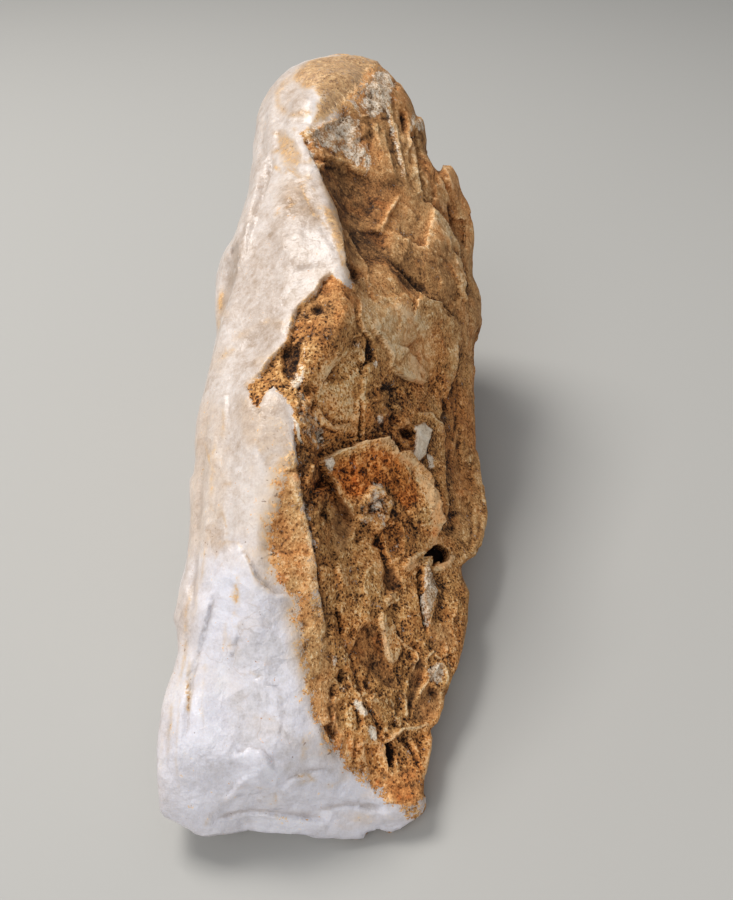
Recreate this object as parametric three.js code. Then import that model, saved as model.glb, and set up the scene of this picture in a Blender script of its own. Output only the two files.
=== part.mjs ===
// Raw quartz: one lump of vein quartz, lying on its flat underside.
//
// Units are millimetres, +Z is up.  The long axis of the lump is Y: its low,
// clean white end points to -Y and its high, rounded end to +Y.  The origin is
// the middle of the footprint, on the plane that the lump rests on.
//
// The body is built in three steps.
//   1. A cage of cross-sections gives the broad faces and the crest.
//   2. The cage becomes a distance field.  The field is softened a little,
//      trimmed to the outline of the lump and roughened in broad waves.
//   3. The closed zero surface of the field is skinned with faces.

import * as THREE from 'three';

// ---------------------------------------------------------------- dimensions
const CELL = 3.8;            // spacing of the skin's cells
const SOFTEN = 1.45;         // rounding of the cage's edges
const WAVE_LONG = 26;        // length of the broad waves on the faces
const WAVE_HIGH = 1.5;       // their height
const RIPPLE_LONG = 11;      // length of the shorter waves
const RIPPLE_HIGH = 0.75;    // their height
const TRIM_ROUND = 4.0;      // rounding where a face meets the outline
const CENTRE_X = -4.28;      // middle of the footprint in cage coordinates
const CENTRE_Y = 186.09;
const COLOUR = 0xb9a183;     // white quartz and brown crust, averaged
const ROUGHNESS = 0.72;

// Sight point for the outline.  Seen from here, at EYE_HEIGHT above the resting
// plane and looking down by EYE_PITCH degrees, the lump has the outline below.
const EYE_HEIGHT = 165;
const EYE_PITCH = 36.9;
const EYE_SCALE = 934;       // outline units at unit distance
const EYE_U = 366.5;
const EYE_V = 450;

// ------------------------------------------------------------ cross-sections
// Each ring runs once around the lump: left shoulder, white face, crest, brown
// face, right edge, right wall, underside, left wall.  Points are [x, y, z]
// with y counted from the sight point.
const RINGS = [
  [[-37.7, 96.4, 9.0], [-31.0, 93.7, 3.5], [-22.4, 94.5, 3.5], [-12.3, 94.9, 2.5], [-3.1, 94.5, 0.5], [2.9, 95.6, 0.5], [8.6, 97.3, 1.5], [11.2, 99.6, 4.0], [12.0, 103.0, -1.0], [6.0, 104.0, -4.0], [-6.0, 103.0, -5.0], [-20.0, 103.0, -5.0], [-29.0, 103.0, -3.0], [-36.0, 102.0, 3.0]],
  [[-38.2, 98.1, 17.0], [-29.2, 93.8, 10.0], [-18.8, 97.5, 14.5], [-5.8, 98.2, 11.5], [1.0, 98.9, 9.5], [5.3, 99.0, 9.0], [8.6, 99.5, 8.5], [11.3, 100.2, 9.0], [13.0, 108.0, 2.5], [9.0, 113.0, -2.0], [-6.0, 116.0, -4.0], [-20.0, 116.0, -4.0], [-31.0, 115.0, -2.0], [-37.5, 109.0, 7.0]],
  [[-38.2, 103.8, 22.0], [-32.2, 101.8, 23.5], [-19.8, 101.6, 23.8], [-6.6, 102.8, 21.5], [-1.9, 105.3, 17.5], [3.3, 108.0, 14.0], [8.6, 110.5, 11.5], [13.5, 113.3, 9.5], [14.0, 117.0, 4.0], [10.0, 122.0, -1.0], [-6.0, 124.0, -3.0], [-20.0, 124.0, -3.0], [-33.0, 122.0, -1.0], [-39.0, 115.0, 11.0]],
  [[-36.6, 111.9, 27.0], [-30.3, 110.6, 29.2], [-20.2, 110.0, 30.4], [-9.2, 111.3, 28.8], [-3.1, 116.1, 23.0], [4.6, 120.2, 18.0], [12.0, 123.3, 14.2], [18.5, 126.4, 11.0], [19.5, 131.0, 4.5], [15.0, 135.0, -1.0], [-3.0, 136.0, -3.0], [-20.0, 136.0, -3.0], [-34.0, 134.0, 0.0], [-39.0, 125.0, 13.0]],
  [[-36.7, 123.0, 33.5], [-30.1, 120.2, 37.3], [-20.3, 118.5, 39.6], [-8.5, 121.1, 36.8], [-3.2, 127.6, 30.0], [4.8, 132.3, 25.0], [13.6, 137.5, 19.5], [23.0, 145.6, 13.5], [23.0, 151.0, 5.0], [18.0, 154.0, -1.0], [0.0, 154.0, -3.0], [-20.0, 154.0, -3.0], [-34.5, 149.0, 0.0], [-39.5, 139.0, 15.0]],
  [[-35.7, 137.6, 42.0], [-29.2, 132.8, 46.3], [-20.7, 129.8, 49.0], [-10.7, 131.8, 47.2], [-6.5, 140.4, 39.5], [3.9, 147.0, 35.0], [16.0, 158.9, 24.5], [29.7, 172.9, 15.0], [27.5, 176.0, 6.0], [21.0, 178.0, -1.0], [0.0, 176.0, -3.0], [-20.0, 174.0, -3.0], [-34.0, 168.0, 0.0], [-39.0, 155.0, 19.0]],
  [[-35.9, 152.1, 49.5], [-28.8, 145.1, 54.8], [-21.1, 140.8, 58.1], [-13.1, 140.3, 58.5], [-9.7, 148.8, 52.0], [1.8, 157.4, 45.5], [15.0, 173.2, 33.5], [29.0, 191.1, 21.5], [29.0, 196.0, 8.0], [22.0, 197.0, -1.0], [0.0, 194.0, -3.0], [-20.0, 190.0, -3.0], [-33.5, 184.0, 0.0], [-38.0, 171.0, 23.0]],
  [[-35.1, 164.9, 57.0], [-28.3, 156.6, 62.4], [-21.5, 151.1, 66.0], [-13.1, 149.2, 67.3], [-8.9, 155.7, 63.0], [1.2, 165.7, 56.5], [14.2, 183.2, 45.0], [29.1, 207.0, 31.0], [30.0, 214.0, 12.0], [23.0, 214.0, 0.0], [0.0, 210.0, -3.0], [-20.0, 206.0, -3.0], [-33.0, 199.0, 0.0], [-37.5, 187.0, 27.0]],
  [[-35.0, 190.2, 61.0], [-27.8, 174.6, 68.8], [-17.4, 166.1, 73.5], [-4.0, 162.5, 75.0], [0.1, 172.8, 69.3], [7.0, 183.3, 63.5], [17.5, 198.6, 55.0], [31.4, 225.7, 42.5], [31.0, 231.0, 18.0], [24.0, 230.0, 0.0], [0.0, 226.0, -3.0], [-19.0, 222.0, -3.0], [-33.0, 214.0, 0.0], [-37.5, 203.0, 32.0]],
  [[-35.7, 203.1, 66.0], [-26.4, 191.2, 76.6], [-16.1, 182.1, 80.8], [-4.4, 179.0, 81.8], [-0.3, 196.4, 74.2], [7.9, 203.7, 70.8], [18.1, 216.3, 65.0], [30.5, 240.9, 56.0], [30.5, 246.0, 26.0], [24.0, 244.0, 1.0], [0.0, 240.0, -3.0], [-18.0, 236.0, -3.0], [-32.5, 228.0, 1.0], [-37.0, 219.0, 38.0]],
  [[-30.5, 225.2, 77.5], [-23.6, 210.3, 83.8], [-17.2, 203.8, 87.0], [-9.6, 199.8, 87.6], [-4.7, 218.5, 80.6], [4.8, 222.6, 79.3], [15.6, 233.7, 75.0], [27.7, 251.9, 68.0], [28.5, 257.0, 36.0], [23.0, 254.0, 2.0], [0.0, 250.0, -3.0], [-17.0, 247.0, -3.0], [-31.5, 240.0, 2.0], [-35.0, 235.0, 44.0]],
  [[-29.9, 247.0, 84.8], [-23.5, 231.5, 90.8], [-18.3, 225.5, 93.2], [-13.6, 222.3, 93.3], [-5.3, 231.9, 90.2], [2.2, 238.6, 88.8], [9.8, 246.4, 86.3], [17.1, 257.6, 83.0], [25.0, 263.0, 46.0], [21.0, 260.0, 4.0], [0.0, 256.0, -3.0], [-16.0, 254.0, -3.0], [-30.5, 249.0, 3.0], [-33.0, 249.0, 50.0]],
  [[-26.4, 261.2, 92.3], [-20.0, 249.5, 95.8], [-14.3, 244.2, 97.5], [-9.1, 242.1, 98.1], [-4.2, 243.5, 97.7], [0.9, 247.0, 96.5], [5.9, 253.4, 94.2], [10.9, 260.3, 91.5], [23.0, 267.0, 54.0], [19.0, 264.0, 8.0], [0.0, 262.0, -1.0], [-15.0, 260.0, -1.0], [-29.5, 256.0, 5.0], [-31.5, 258.0, 54.0]],
  [[-21.3, 264.6, 95.8], [-17.0, 262.6, 98.0], [-12.4, 261.2, 99.4], [-8.4, 261.2, 100.0], [-4.4, 261.2, 100.0], [0.1, 261.3, 99.2], [4.1, 261.9, 97.8], [8.0, 264.7, 95.0], [21.5, 270.0, 56.0], [17.0, 267.0, 13.0], [0.0, 265.0, 4.0], [-14.0, 263.0, 3.0], [-28.0, 261.0, 9.0], [-29.5, 264.0, 56.0]],
  [[-22.0, 269.0, 88.0], [-17.0, 271.0, 90.5], [-12.0, 272.0, 91.5], [-8.0, 272.5, 91.5], [-3.0, 272.5, 90.5], [2.0, 271.5, 89.5], [7.0, 270.0, 88.0], [12.0, 268.5, 84.0], [17.0, 272.0, 54.0], [13.0, 271.0, 20.0], [0.0, 271.0, 12.0], [-13.0, 269.0, 11.0], [-23.0, 267.0, 17.0], [-25.0, 270.0, 56.0]],
  [[-17.0, 273.0, 74.0], [-14.0, 274.5, 76.0], [-11.0, 275.5, 77.0], [-8.0, 276.0, 77.0], [-4.0, 275.5, 76.0], [0.0, 275.0, 75.0], [4.0, 274.0, 73.0], [8.0, 272.0, 70.0], [11.0, 276.0, 52.0], [8.0, 276.0, 32.0], [-1.0, 276.0, 26.0], [-11.0, 274.0, 26.0], [-17.0, 272.0, 32.0], [-19.0, 274.0, 54.0]],
];

// Outline of the lump from the sight point, in outline units [across, down].
const OUTLINE = [
  [161, 812], [157.5, 790], [157, 765], [158, 735], [162, 708], [168, 684], [176, 660], [176.5, 632],
  [175, 615], [180, 592], [185, 565], [188.5, 535], [188.5, 505], [191, 478], [194, 450], [197, 420],
  [202, 395], [206, 372], [211, 350], [216, 330], [215.5, 305], [216.5, 285], [220, 264], [229, 243],
  [236, 228], [243, 206], [247.5, 186], [250.5, 163], [254, 140], [256.5, 118], [262, 101], [271, 87],
  [281, 76], [292, 68], [305, 61.5], [320, 57.5], [340, 55.5], [362, 57.5], [378, 61.5], [387, 67],
  [397, 78], [407, 90], [413, 103], [417, 116], [423, 118], [425, 134], [429, 150], [436, 166],
  [443, 168], [449, 163], [457, 167], [459, 181], [463, 196], [469, 207], [473, 221], [475, 240],
  [472.5, 258], [474, 276], [480, 292], [482.5, 310], [477, 326], [476, 345], [473, 362], [473.5, 385],
  [473, 405], [474.5, 430], [474, 447], [477, 465], [482, 480], [486, 498], [487, 512], [484, 530],
  [482, 545], [474, 556], [462, 566], [463, 580], [470, 590], [468, 612], [464, 632], [461, 655],
  [457, 672], [451, 688], [447, 702], [441, 716], [433, 728], [432, 745], [429.5, 765], [425, 782],
  [424, 798], [421, 810], [412, 822], [395, 833], [372, 841], [357, 845], [345, 842], [335, 838],
  [318, 840], [300, 837], [282, 839], [262, 836], [245, 838], [225, 837], [207, 842], [196, 838],
  [183, 828], [170, 822],
];

// -------------------------------------------------------------------- helpers
const sinP = Math.sin(EYE_PITCH * Math.PI / 180);
const cosP = Math.cos(EYE_PITCH * Math.PI / 180);

// Repeatable random number in 0..1 for a lattice point.
function lattice(i, j, k, seed) {
  let h = (Math.imul(i, 374761393) + Math.imul(j, 668265263) + Math.imul(k, 1274126177) + Math.imul(seed, 974634777)) >>> 0;
  h = Math.imul(h ^ (h >>> 13), 1274126177) >>> 0;
  h = Math.imul(h ^ (h >>> 16), 2246822519) >>> 0;
  h = (h ^ (h >>> 15)) >>> 0;
  return h / 4294967296;
}

// Smooth noise in -1..1.
function noise(x, y, z, seed) {
  const i = Math.floor(x), j = Math.floor(y), k = Math.floor(z);
  const s = (t) => t * t * (3 - 2 * t);
  const a = s(x - i), b = s(y - j), c = s(z - k);
  let sum = 0;
  for (let di = 0; di < 2; di++) for (let dj = 0; dj < 2; dj++) for (let dk = 0; dk < 2; dk++) {
    sum += (di ? a : 1 - a) * (dj ? b : 1 - b) * (dk ? c : 1 - c) * lattice(i + di, j + dj, k + dk, seed);
  }
  return sum * 2 - 1;
}

// ----------------------------------------------------------- cage as triangles
function cageTriangles() {
  const n = RINGS.length, m = RINGS[0].length;
  const pts = RINGS.flat().map((p) => new THREE.Vector3(...p));
  const mean = (ring) => ring.reduce((s, p) => s.add(new THREE.Vector3(...p)), new THREE.Vector3()).divideScalar(m);
  const front = mean(RINGS[0]).add(new THREE.Vector3(0, 0.5, -0.5));
  const back = mean(RINGS[n - 1]).add(new THREE.Vector3(0, 0.8, 0));
  pts.push(front, back);
  const tris = [];
  for (let i = 0; i < n - 1; i++) for (let j = 0; j < m; j++) {
    const a = i * m + j, b = i * m + (j + 1) % m, c = (i + 1) * m + (j + 1) % m, d = (i + 1) * m + j;
    if (pts[a].distanceTo(pts[c]) < pts[b].distanceTo(pts[d])) tris.push([a, b, c], [a, c, d]);
    else tris.push([a, b, d], [b, c, d]);
  }
  for (let j = 0; j < m; j++) {
    tris.push([n * m, (j + 1) % m, j]);
    tris.push([n * m + 1, (n - 1) * m + j, (n - 1) * m + (j + 1) % m]);
  }
  return tris.map((t) => t.map((q) => pts[q]));
}

// ------------------------------------------------------------ distance field
const tris = cageTriangles();
const box = new THREE.Box3();
for (const t of tris) for (const p of t) box.expandByPoint(p);
box.expandByScalar(2.2 * CELL);
box.min.z = -3.5 * CELL;                     // the resting plane lies midway in a cell
const NX = Math.ceil((box.max.x - box.min.x) / CELL) + 1;
const NY = Math.ceil((box.max.y - box.min.y) / CELL) + 1;
const NZ = Math.ceil((box.max.z - box.min.z) / CELL) + 1;
const at = (i, j, k) => (i * NY + j) * NZ + k;
const px = (i) => box.min.x + i * CELL, py = (j) => box.min.y + j * CELL, pz = (k) => box.min.z + k * CELL;

function cageField() {
  const dist = new Float64Array(NX * NY * NZ).fill(1e9);
  const inside = new Uint8Array(NX * NY * NZ);
  const p = new THREE.Vector3(), q = new THREE.Vector3();
  const boxes = tris.map((t) => new THREE.Triangle(...t));
  for (let i = 0; i < NX; i++) for (let j = 0; j < NY; j++) for (let k = 0; k < NZ; k++) {
    p.set(px(i), py(j), pz(k));
    let best = 1e9;
    for (const t of boxes) {
      t.closestPointToPoint(p, q);
      const d = q.distanceToSquared(p);
      if (d < best) best = d;
    }
    dist[at(i, j, k)] = Math.sqrt(best);
  }
  // A point is inside where an odd number of faces lie below it along x.
  for (let j = 0; j < NY; j++) for (let k = 0; k < NZ; k++) {
    const y = py(j) + 1.37e-3, z = pz(k) + 2.71e-3;
    for (const [a, b, c] of tris) {
      if (y < Math.min(a.y, b.y, c.y) || y > Math.max(a.y, b.y, c.y)) continue;
      const side = (u, v) => (v.y - u.y) * (z - u.z) - (v.z - u.z) * (y - u.y);
      const s1 = side(a, b), s2 = side(b, c), s3 = side(c, a);
      if (!((s1 >= 0 && s2 >= 0 && s3 >= 0) || (s1 <= 0 && s2 <= 0 && s3 <= 0))) continue;
      const nrm = b.clone().sub(a).cross(c.clone().sub(a));
      if (Math.abs(nrm.x) < 1e-12) continue;
      const x = a.x - ((y - a.y) * nrm.y + (z - a.z) * nrm.z) / nrm.x;
      for (let i = Math.max(0, Math.ceil((x - box.min.x) / CELL)); i < NX; i++) inside[at(i, j, k)] ^= 1;
    }
  }
  for (let s = 0; s < dist.length; s++) if (inside[s]) dist[s] = -dist[s];
  return dist;
}

// Rounds the edges: a narrow bell-shaped average along each axis in turn.
function soften(f) {
  const sigma = SOFTEN / CELL, w = [];
  for (let r = -2; r <= 2; r++) w.push(Math.exp(-0.5 * (r / sigma) ** 2));
  const total = w.reduce((a, b) => a + b, 0);
  const clamp = (v, n) => Math.min(Math.max(v, 0), n - 1);
  let src = f;
  for (let axis = 0; axis < 3; axis++) {
    const out = new Float64Array(src.length);
    for (let i = 0; i < NX; i++) for (let j = 0; j < NY; j++) for (let k = 0; k < NZ; k++) {
      let s = 0;
      for (let r = -2; r <= 2; r++) {
        const g = axis === 0 ? at(clamp(i + r, NX), j, k) : axis === 1 ? at(i, clamp(j + r, NY), k) : at(i, j, clamp(k + r, NZ));
        s += w[r + 2] * src[g];
      }
      out[at(i, j, k)] = s / total;
    }
    src = out;
  }
  return src;
}

// Distance from the outline, in millimetres at the point's own depth.
function outlineDistance(x, y, z) {
  const depth = y * cosP + (EYE_HEIGHT - z) * sinP;
  const u = EYE_U + EYE_SCALE * x / depth;
  const v = EYE_V + EYE_SCALE * ((EYE_HEIGHT - z) * cosP - y * sinP) / depth;
  let best = 1e12, inside = false;
  for (let s = 0; s < OUTLINE.length; s++) {
    const [x0, y0] = OUTLINE[s], [x1, y1] = OUTLINE[(s + 1) % OUTLINE.length];
    const ex = x1 - x0, ey = y1 - y0, ax = u - x0, ay = v - y0;
    const t = Math.min(1, Math.max(0, (ax * ex + ay * ey) / (ex * ex + ey * ey)));
    best = Math.min(best, (ax - t * ex) ** 2 + (ay - t * ey) ** 2);
    if ((y0 > v) !== (y1 > v) && u < (x1 - x0) * (v - y0) / (y1 - y0) + x0) inside = !inside;
  }
  return Math.sqrt(best) * (inside ? -1 : 1) * depth / EYE_SCALE;
}

const field = soften(cageField());
for (let i = 0; i < NX; i++) for (let j = 0; j < NY; j++) for (let k = 0; k < NZ; k++) {
  const x = px(i), y = py(j), z = pz(k), s = at(i, j, k);
  let f = field[s];
  if (Math.abs(f) < 4 * CELL) {
    f -= WAVE_HIGH * noise(x / WAVE_LONG, y / WAVE_LONG, z / WAVE_LONG, 11)
       + RIPPLE_HIGH * noise(x / RIPPLE_LONG, y / RIPPLE_LONG, z / RIPPLE_LONG, 12);
    const o = outlineDistance(x, y, z);
    const r = Math.max(0, TRIM_ROUND - Math.abs(f - o)) / TRIM_ROUND;
    f = Math.max(f, o) + r * r * TRIM_ROUND * 0.15;
  }
  field[s] = Math.max(f, -z);               // cut flat on the resting plane
}

// ------------------------------------------------------------------ skinning
// One vertex in each cell that the surface crosses, at the mean of the crossing
// points of its edges, and one pair of triangles across each crossed edge.
const verts = [], cellVertex = new Int32Array(NX * NY * NZ).fill(-1);
for (let i = 0; i < NX - 1; i++) for (let j = 0; j < NY - 1; j++) for (let k = 0; k < NZ - 1; k++) {
  let n = 0, sx = 0, sy = 0, sz = 0;
  const corner = (c) => [i + (c & 1), j + ((c >> 1) & 1), k + ((c >> 2) & 1)];
  for (let c = 0; c < 8; c++) for (const bit of [1, 2, 4]) {
    if (c & bit) continue;
    const p = corner(c), q = corner(c | bit);
    const fp = field[at(...p)], fq = field[at(...q)];
    if ((fp < 0) === (fq < 0)) continue;
    const t = fp / (fp - fq);
    sx += px(p[0]) + t * (px(q[0]) - px(p[0]));
    sy += py(p[1]) + t * (py(q[1]) - py(p[1]));
    sz += pz(p[2]) + t * (pz(q[2]) - pz(p[2]));
    n++;
  }
  if (!n) continue;
  cellVertex[at(i, j, k)] = verts.length / 3;
  const z = sz / n;
  verts.push(sx / n - CENTRE_X, sy / n - CENTRE_Y, Math.abs(z) < 1e-6 ? 0 : z);
}
const index = [];
function quad(a, b, c, d, flip) {
  if (flip) [b, d] = [d, b];
  const P = (q) => new THREE.Vector3(verts[3 * q], verts[3 * q + 1], verts[3 * q + 2]);
  if (P(a).distanceTo(P(c)) <= P(b).distanceTo(P(d))) index.push(a, b, c, a, c, d);
  else index.push(a, b, d, b, c, d);
}
for (let i = 1; i < NX - 1; i++) for (let j = 1; j < NY - 1; j++) for (let k = 1; k < NZ - 1; k++) {
  const f0 = field[at(i, j, k)] < 0;
  const cv = (di, dj, dk) => cellVertex[at(i - di, j - dj, k - dk)];
  if (f0 !== field[at(i + 1, j, k)] < 0) quad(cv(0, 1, 1), cv(0, 0, 1), cv(0, 0, 0), cv(0, 1, 0), !f0);
  if (f0 !== field[at(i, j + 1, k)] < 0) quad(cv(1, 0, 1), cv(1, 0, 0), cv(0, 0, 0), cv(0, 0, 1), !f0);
  if (f0 !== field[at(i, j, k + 1)] < 0) quad(cv(1, 1, 0), cv(0, 1, 0), cv(0, 0, 0), cv(1, 0, 0), !f0);
}

const geometry = new THREE.BufferGeometry();
geometry.setAttribute('position', new THREE.Float32BufferAttribute(verts, 3));
geometry.setIndex(index);
geometry.computeVertexNormals();

const stone = new THREE.Mesh(geometry, new THREE.MeshStandardMaterial({
  color: COLOUR, roughness: ROUGHNESS, metalness: 0,
}));
stone.name = 'raw_quartz';

const part = new THREE.Group();
part.add(stone);
export default part;
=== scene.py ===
"""Raw quartz: the fine surface and finish of the stone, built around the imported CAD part.

One natural piece of white quartz with a thick brown iron-stained crust over its right side.
The body is the same solid as the CAD part, at a finer step, with the broken edges, ridges, slits
and pits of the crust modelled in the surface, and a procedural stone finish.
"""
import math

import bpy
import numpy as np
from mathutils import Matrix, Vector

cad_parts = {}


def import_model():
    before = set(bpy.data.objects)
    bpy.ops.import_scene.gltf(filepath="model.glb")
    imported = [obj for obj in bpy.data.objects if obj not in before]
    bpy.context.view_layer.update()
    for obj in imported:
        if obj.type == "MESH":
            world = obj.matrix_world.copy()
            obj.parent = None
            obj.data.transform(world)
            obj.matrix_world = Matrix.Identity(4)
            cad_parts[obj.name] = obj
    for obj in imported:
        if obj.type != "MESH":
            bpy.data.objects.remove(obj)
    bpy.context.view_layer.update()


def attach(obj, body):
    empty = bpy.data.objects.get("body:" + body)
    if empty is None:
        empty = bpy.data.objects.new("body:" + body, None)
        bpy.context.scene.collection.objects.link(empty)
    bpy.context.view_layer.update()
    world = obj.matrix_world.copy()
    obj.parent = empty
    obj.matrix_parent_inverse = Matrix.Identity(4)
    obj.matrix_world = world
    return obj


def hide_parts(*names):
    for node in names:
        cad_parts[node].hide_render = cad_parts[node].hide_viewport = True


RINGS = [
  [[-37.7, 96.4, 9.0], [-31.0, 93.7, 3.5], [-22.4, 94.5, 3.5], [-12.3, 94.9, 2.5], [-3.1, 94.5, 0.5], [2.9, 95.6, 0.5], [8.6, 97.3, 1.5], [11.2, 99.6, 4.0], [12.0, 103.0, -1.0], [6.0, 104.0, -4.0], [-6.0, 103.0, -5.0], [-20.0, 103.0, -5.0], [-29.0, 103.0, -3.0], [-36.0, 102.0, 3.0]],
  [[-38.2, 98.1, 17.0], [-29.2, 93.8, 10.0], [-18.8, 97.5, 14.5], [-5.8, 98.2, 11.5], [1.0, 98.9, 9.5], [5.3, 99.0, 9.0], [8.6, 99.5, 8.5], [11.3, 100.2, 9.0], [13.0, 108.0, 2.5], [9.0, 113.0, -2.0], [-6.0, 116.0, -4.0], [-20.0, 116.0, -4.0], [-31.0, 115.0, -2.0], [-37.5, 109.0, 7.0]],
  [[-38.2, 103.8, 22.0], [-32.2, 101.8, 23.5], [-19.8, 101.6, 23.8], [-6.6, 102.8, 21.5], [-1.9, 105.3, 17.5], [3.3, 108.0, 14.0], [8.6, 110.5, 11.5], [13.5, 113.3, 9.5], [14.0, 117.0, 4.0], [10.0, 122.0, -1.0], [-6.0, 124.0, -3.0], [-20.0, 124.0, -3.0], [-33.0, 122.0, -1.0], [-39.0, 115.0, 11.0]],
  [[-36.6, 111.9, 27.0], [-30.3, 110.6, 29.2], [-20.2, 110.0, 30.4], [-9.2, 111.3, 28.8], [-3.1, 116.1, 23.0], [4.6, 120.2, 18.0], [12.0, 123.3, 14.2], [18.5, 126.4, 11.0], [19.5, 131.0, 4.5], [15.0, 135.0, -1.0], [-3.0, 136.0, -3.0], [-20.0, 136.0, -3.0], [-34.0, 134.0, 0.0], [-39.0, 125.0, 13.0]],
  [[-36.7, 123.0, 33.5], [-30.1, 120.2, 37.3], [-20.3, 118.5, 39.6], [-8.5, 121.1, 36.8], [-3.2, 127.6, 30.0], [4.8, 132.3, 25.0], [13.6, 137.5, 19.5], [23.0, 145.6, 13.5], [23.0, 151.0, 5.0], [18.0, 154.0, -1.0], [0.0, 154.0, -3.0], [-20.0, 154.0, -3.0], [-34.5, 149.0, 0.0], [-39.5, 139.0, 15.0]],
  [[-35.7, 137.6, 42.0], [-29.2, 132.8, 46.3], [-20.7, 129.8, 49.0], [-10.7, 131.8, 47.2], [-6.5, 140.4, 39.5], [3.9, 147.0, 35.0], [16.0, 158.9, 24.5], [29.7, 172.9, 15.0], [27.5, 176.0, 6.0], [21.0, 178.0, -1.0], [0.0, 176.0, -3.0], [-20.0, 174.0, -3.0], [-34.0, 168.0, 0.0], [-39.0, 155.0, 19.0]],
  [[-35.9, 152.1, 49.5], [-28.8, 145.1, 54.8], [-21.1, 140.8, 58.1], [-13.1, 140.3, 58.5], [-9.7, 148.8, 52.0], [1.8, 157.4, 45.5], [15.0, 173.2, 33.5], [29.0, 191.1, 21.5], [29.0, 196.0, 8.0], [22.0, 197.0, -1.0], [0.0, 194.0, -3.0], [-20.0, 190.0, -3.0], [-33.5, 184.0, 0.0], [-38.0, 171.0, 23.0]],
  [[-35.1, 164.9, 57.0], [-28.3, 156.6, 62.4], [-21.5, 151.1, 66.0], [-13.1, 149.2, 67.3], [-8.9, 155.7, 63.0], [1.2, 165.7, 56.5], [14.2, 183.2, 45.0], [29.1, 207.0, 31.0], [30.0, 214.0, 12.0], [23.0, 214.0, 0.0], [0.0, 210.0, -3.0], [-20.0, 206.0, -3.0], [-33.0, 199.0, 0.0], [-37.5, 187.0, 27.0]],
  [[-35.0, 190.2, 61.0], [-27.8, 174.6, 68.8], [-17.4, 166.1, 73.5], [-4.0, 162.5, 75.0], [0.1, 172.8, 69.3], [7.0, 183.3, 63.5], [17.5, 198.6, 55.0], [31.4, 225.7, 42.5], [31.0, 231.0, 18.0], [24.0, 230.0, 0.0], [0.0, 226.0, -3.0], [-19.0, 222.0, -3.0], [-33.0, 214.0, 0.0], [-37.5, 203.0, 32.0]],
  [[-35.7, 203.1, 66.0], [-26.4, 191.2, 76.6], [-16.1, 182.1, 80.8], [-4.4, 179.0, 81.8], [-0.3, 196.4, 74.2], [7.9, 203.7, 70.8], [18.1, 216.3, 65.0], [30.5, 240.9, 56.0], [30.5, 246.0, 26.0], [24.0, 244.0, 1.0], [0.0, 240.0, -3.0], [-18.0, 236.0, -3.0], [-32.5, 228.0, 1.0], [-37.0, 219.0, 38.0]],
  [[-30.5, 225.2, 77.5], [-23.6, 210.3, 83.8], [-17.2, 203.8, 87.0], [-9.6, 199.8, 87.6], [-4.7, 218.5, 80.6], [4.8, 222.6, 79.3], [15.6, 233.7, 75.0], [27.7, 251.9, 68.0], [28.5, 257.0, 36.0], [23.0, 254.0, 2.0], [0.0, 250.0, -3.0], [-17.0, 247.0, -3.0], [-31.5, 240.0, 2.0], [-35.0, 235.0, 44.0]],
  [[-29.9, 247.0, 84.8], [-23.5, 231.5, 90.8], [-18.3, 225.5, 93.2], [-13.6, 222.3, 93.3], [-5.3, 231.9, 90.2], [2.2, 238.6, 88.8], [9.8, 246.4, 86.3], [17.1, 257.6, 83.0], [25.0, 263.0, 46.0], [21.0, 260.0, 4.0], [0.0, 256.0, -3.0], [-16.0, 254.0, -3.0], [-30.5, 249.0, 3.0], [-33.0, 249.0, 50.0]],
  [[-26.4, 261.2, 92.3], [-20.0, 249.5, 95.8], [-14.3, 244.2, 97.5], [-9.1, 242.1, 98.1], [-4.2, 243.5, 97.7], [0.9, 247.0, 96.5], [5.9, 253.4, 94.2], [10.9, 260.3, 91.5], [23.0, 267.0, 54.0], [19.0, 264.0, 8.0], [0.0, 262.0, -1.0], [-15.0, 260.0, -1.0], [-29.5, 256.0, 5.0], [-31.5, 258.0, 54.0]],
  [[-21.3, 264.6, 95.8], [-17.0, 262.6, 98.0], [-12.4, 261.2, 99.4], [-8.4, 261.2, 100.0], [-4.4, 261.2, 100.0], [0.1, 261.3, 99.2], [4.1, 261.9, 97.8], [8.0, 264.7, 95.0], [21.5, 270.0, 56.0], [17.0, 267.0, 13.0], [0.0, 265.0, 4.0], [-14.0, 263.0, 3.0], [-28.0, 261.0, 9.0], [-29.5, 264.0, 56.0]],
  [[-22.0, 269.0, 88.0], [-17.0, 271.0, 90.5], [-12.0, 272.0, 91.5], [-8.0, 272.5, 91.5], [-3.0, 272.5, 90.5], [2.0, 271.5, 89.5], [7.0, 270.0, 88.0], [12.0, 268.5, 84.0], [17.0, 272.0, 54.0], [13.0, 271.0, 20.0], [0.0, 271.0, 12.0], [-13.0, 269.0, 11.0], [-23.0, 267.0, 17.0], [-25.0, 270.0, 56.0]],
  [[-17.0, 273.0, 74.0], [-14.0, 274.5, 76.0], [-11.0, 275.5, 77.0], [-8.0, 276.0, 77.0], [-4.0, 275.5, 76.0], [0.0, 275.0, 75.0], [4.0, 274.0, 73.0], [8.0, 272.0, 70.0], [11.0, 276.0, 52.0], [8.0, 276.0, 32.0], [-1.0, 276.0, 26.0], [-11.0, 274.0, 26.0], [-17.0, 272.0, 32.0], [-19.0, 274.0, 54.0]],
]

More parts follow.
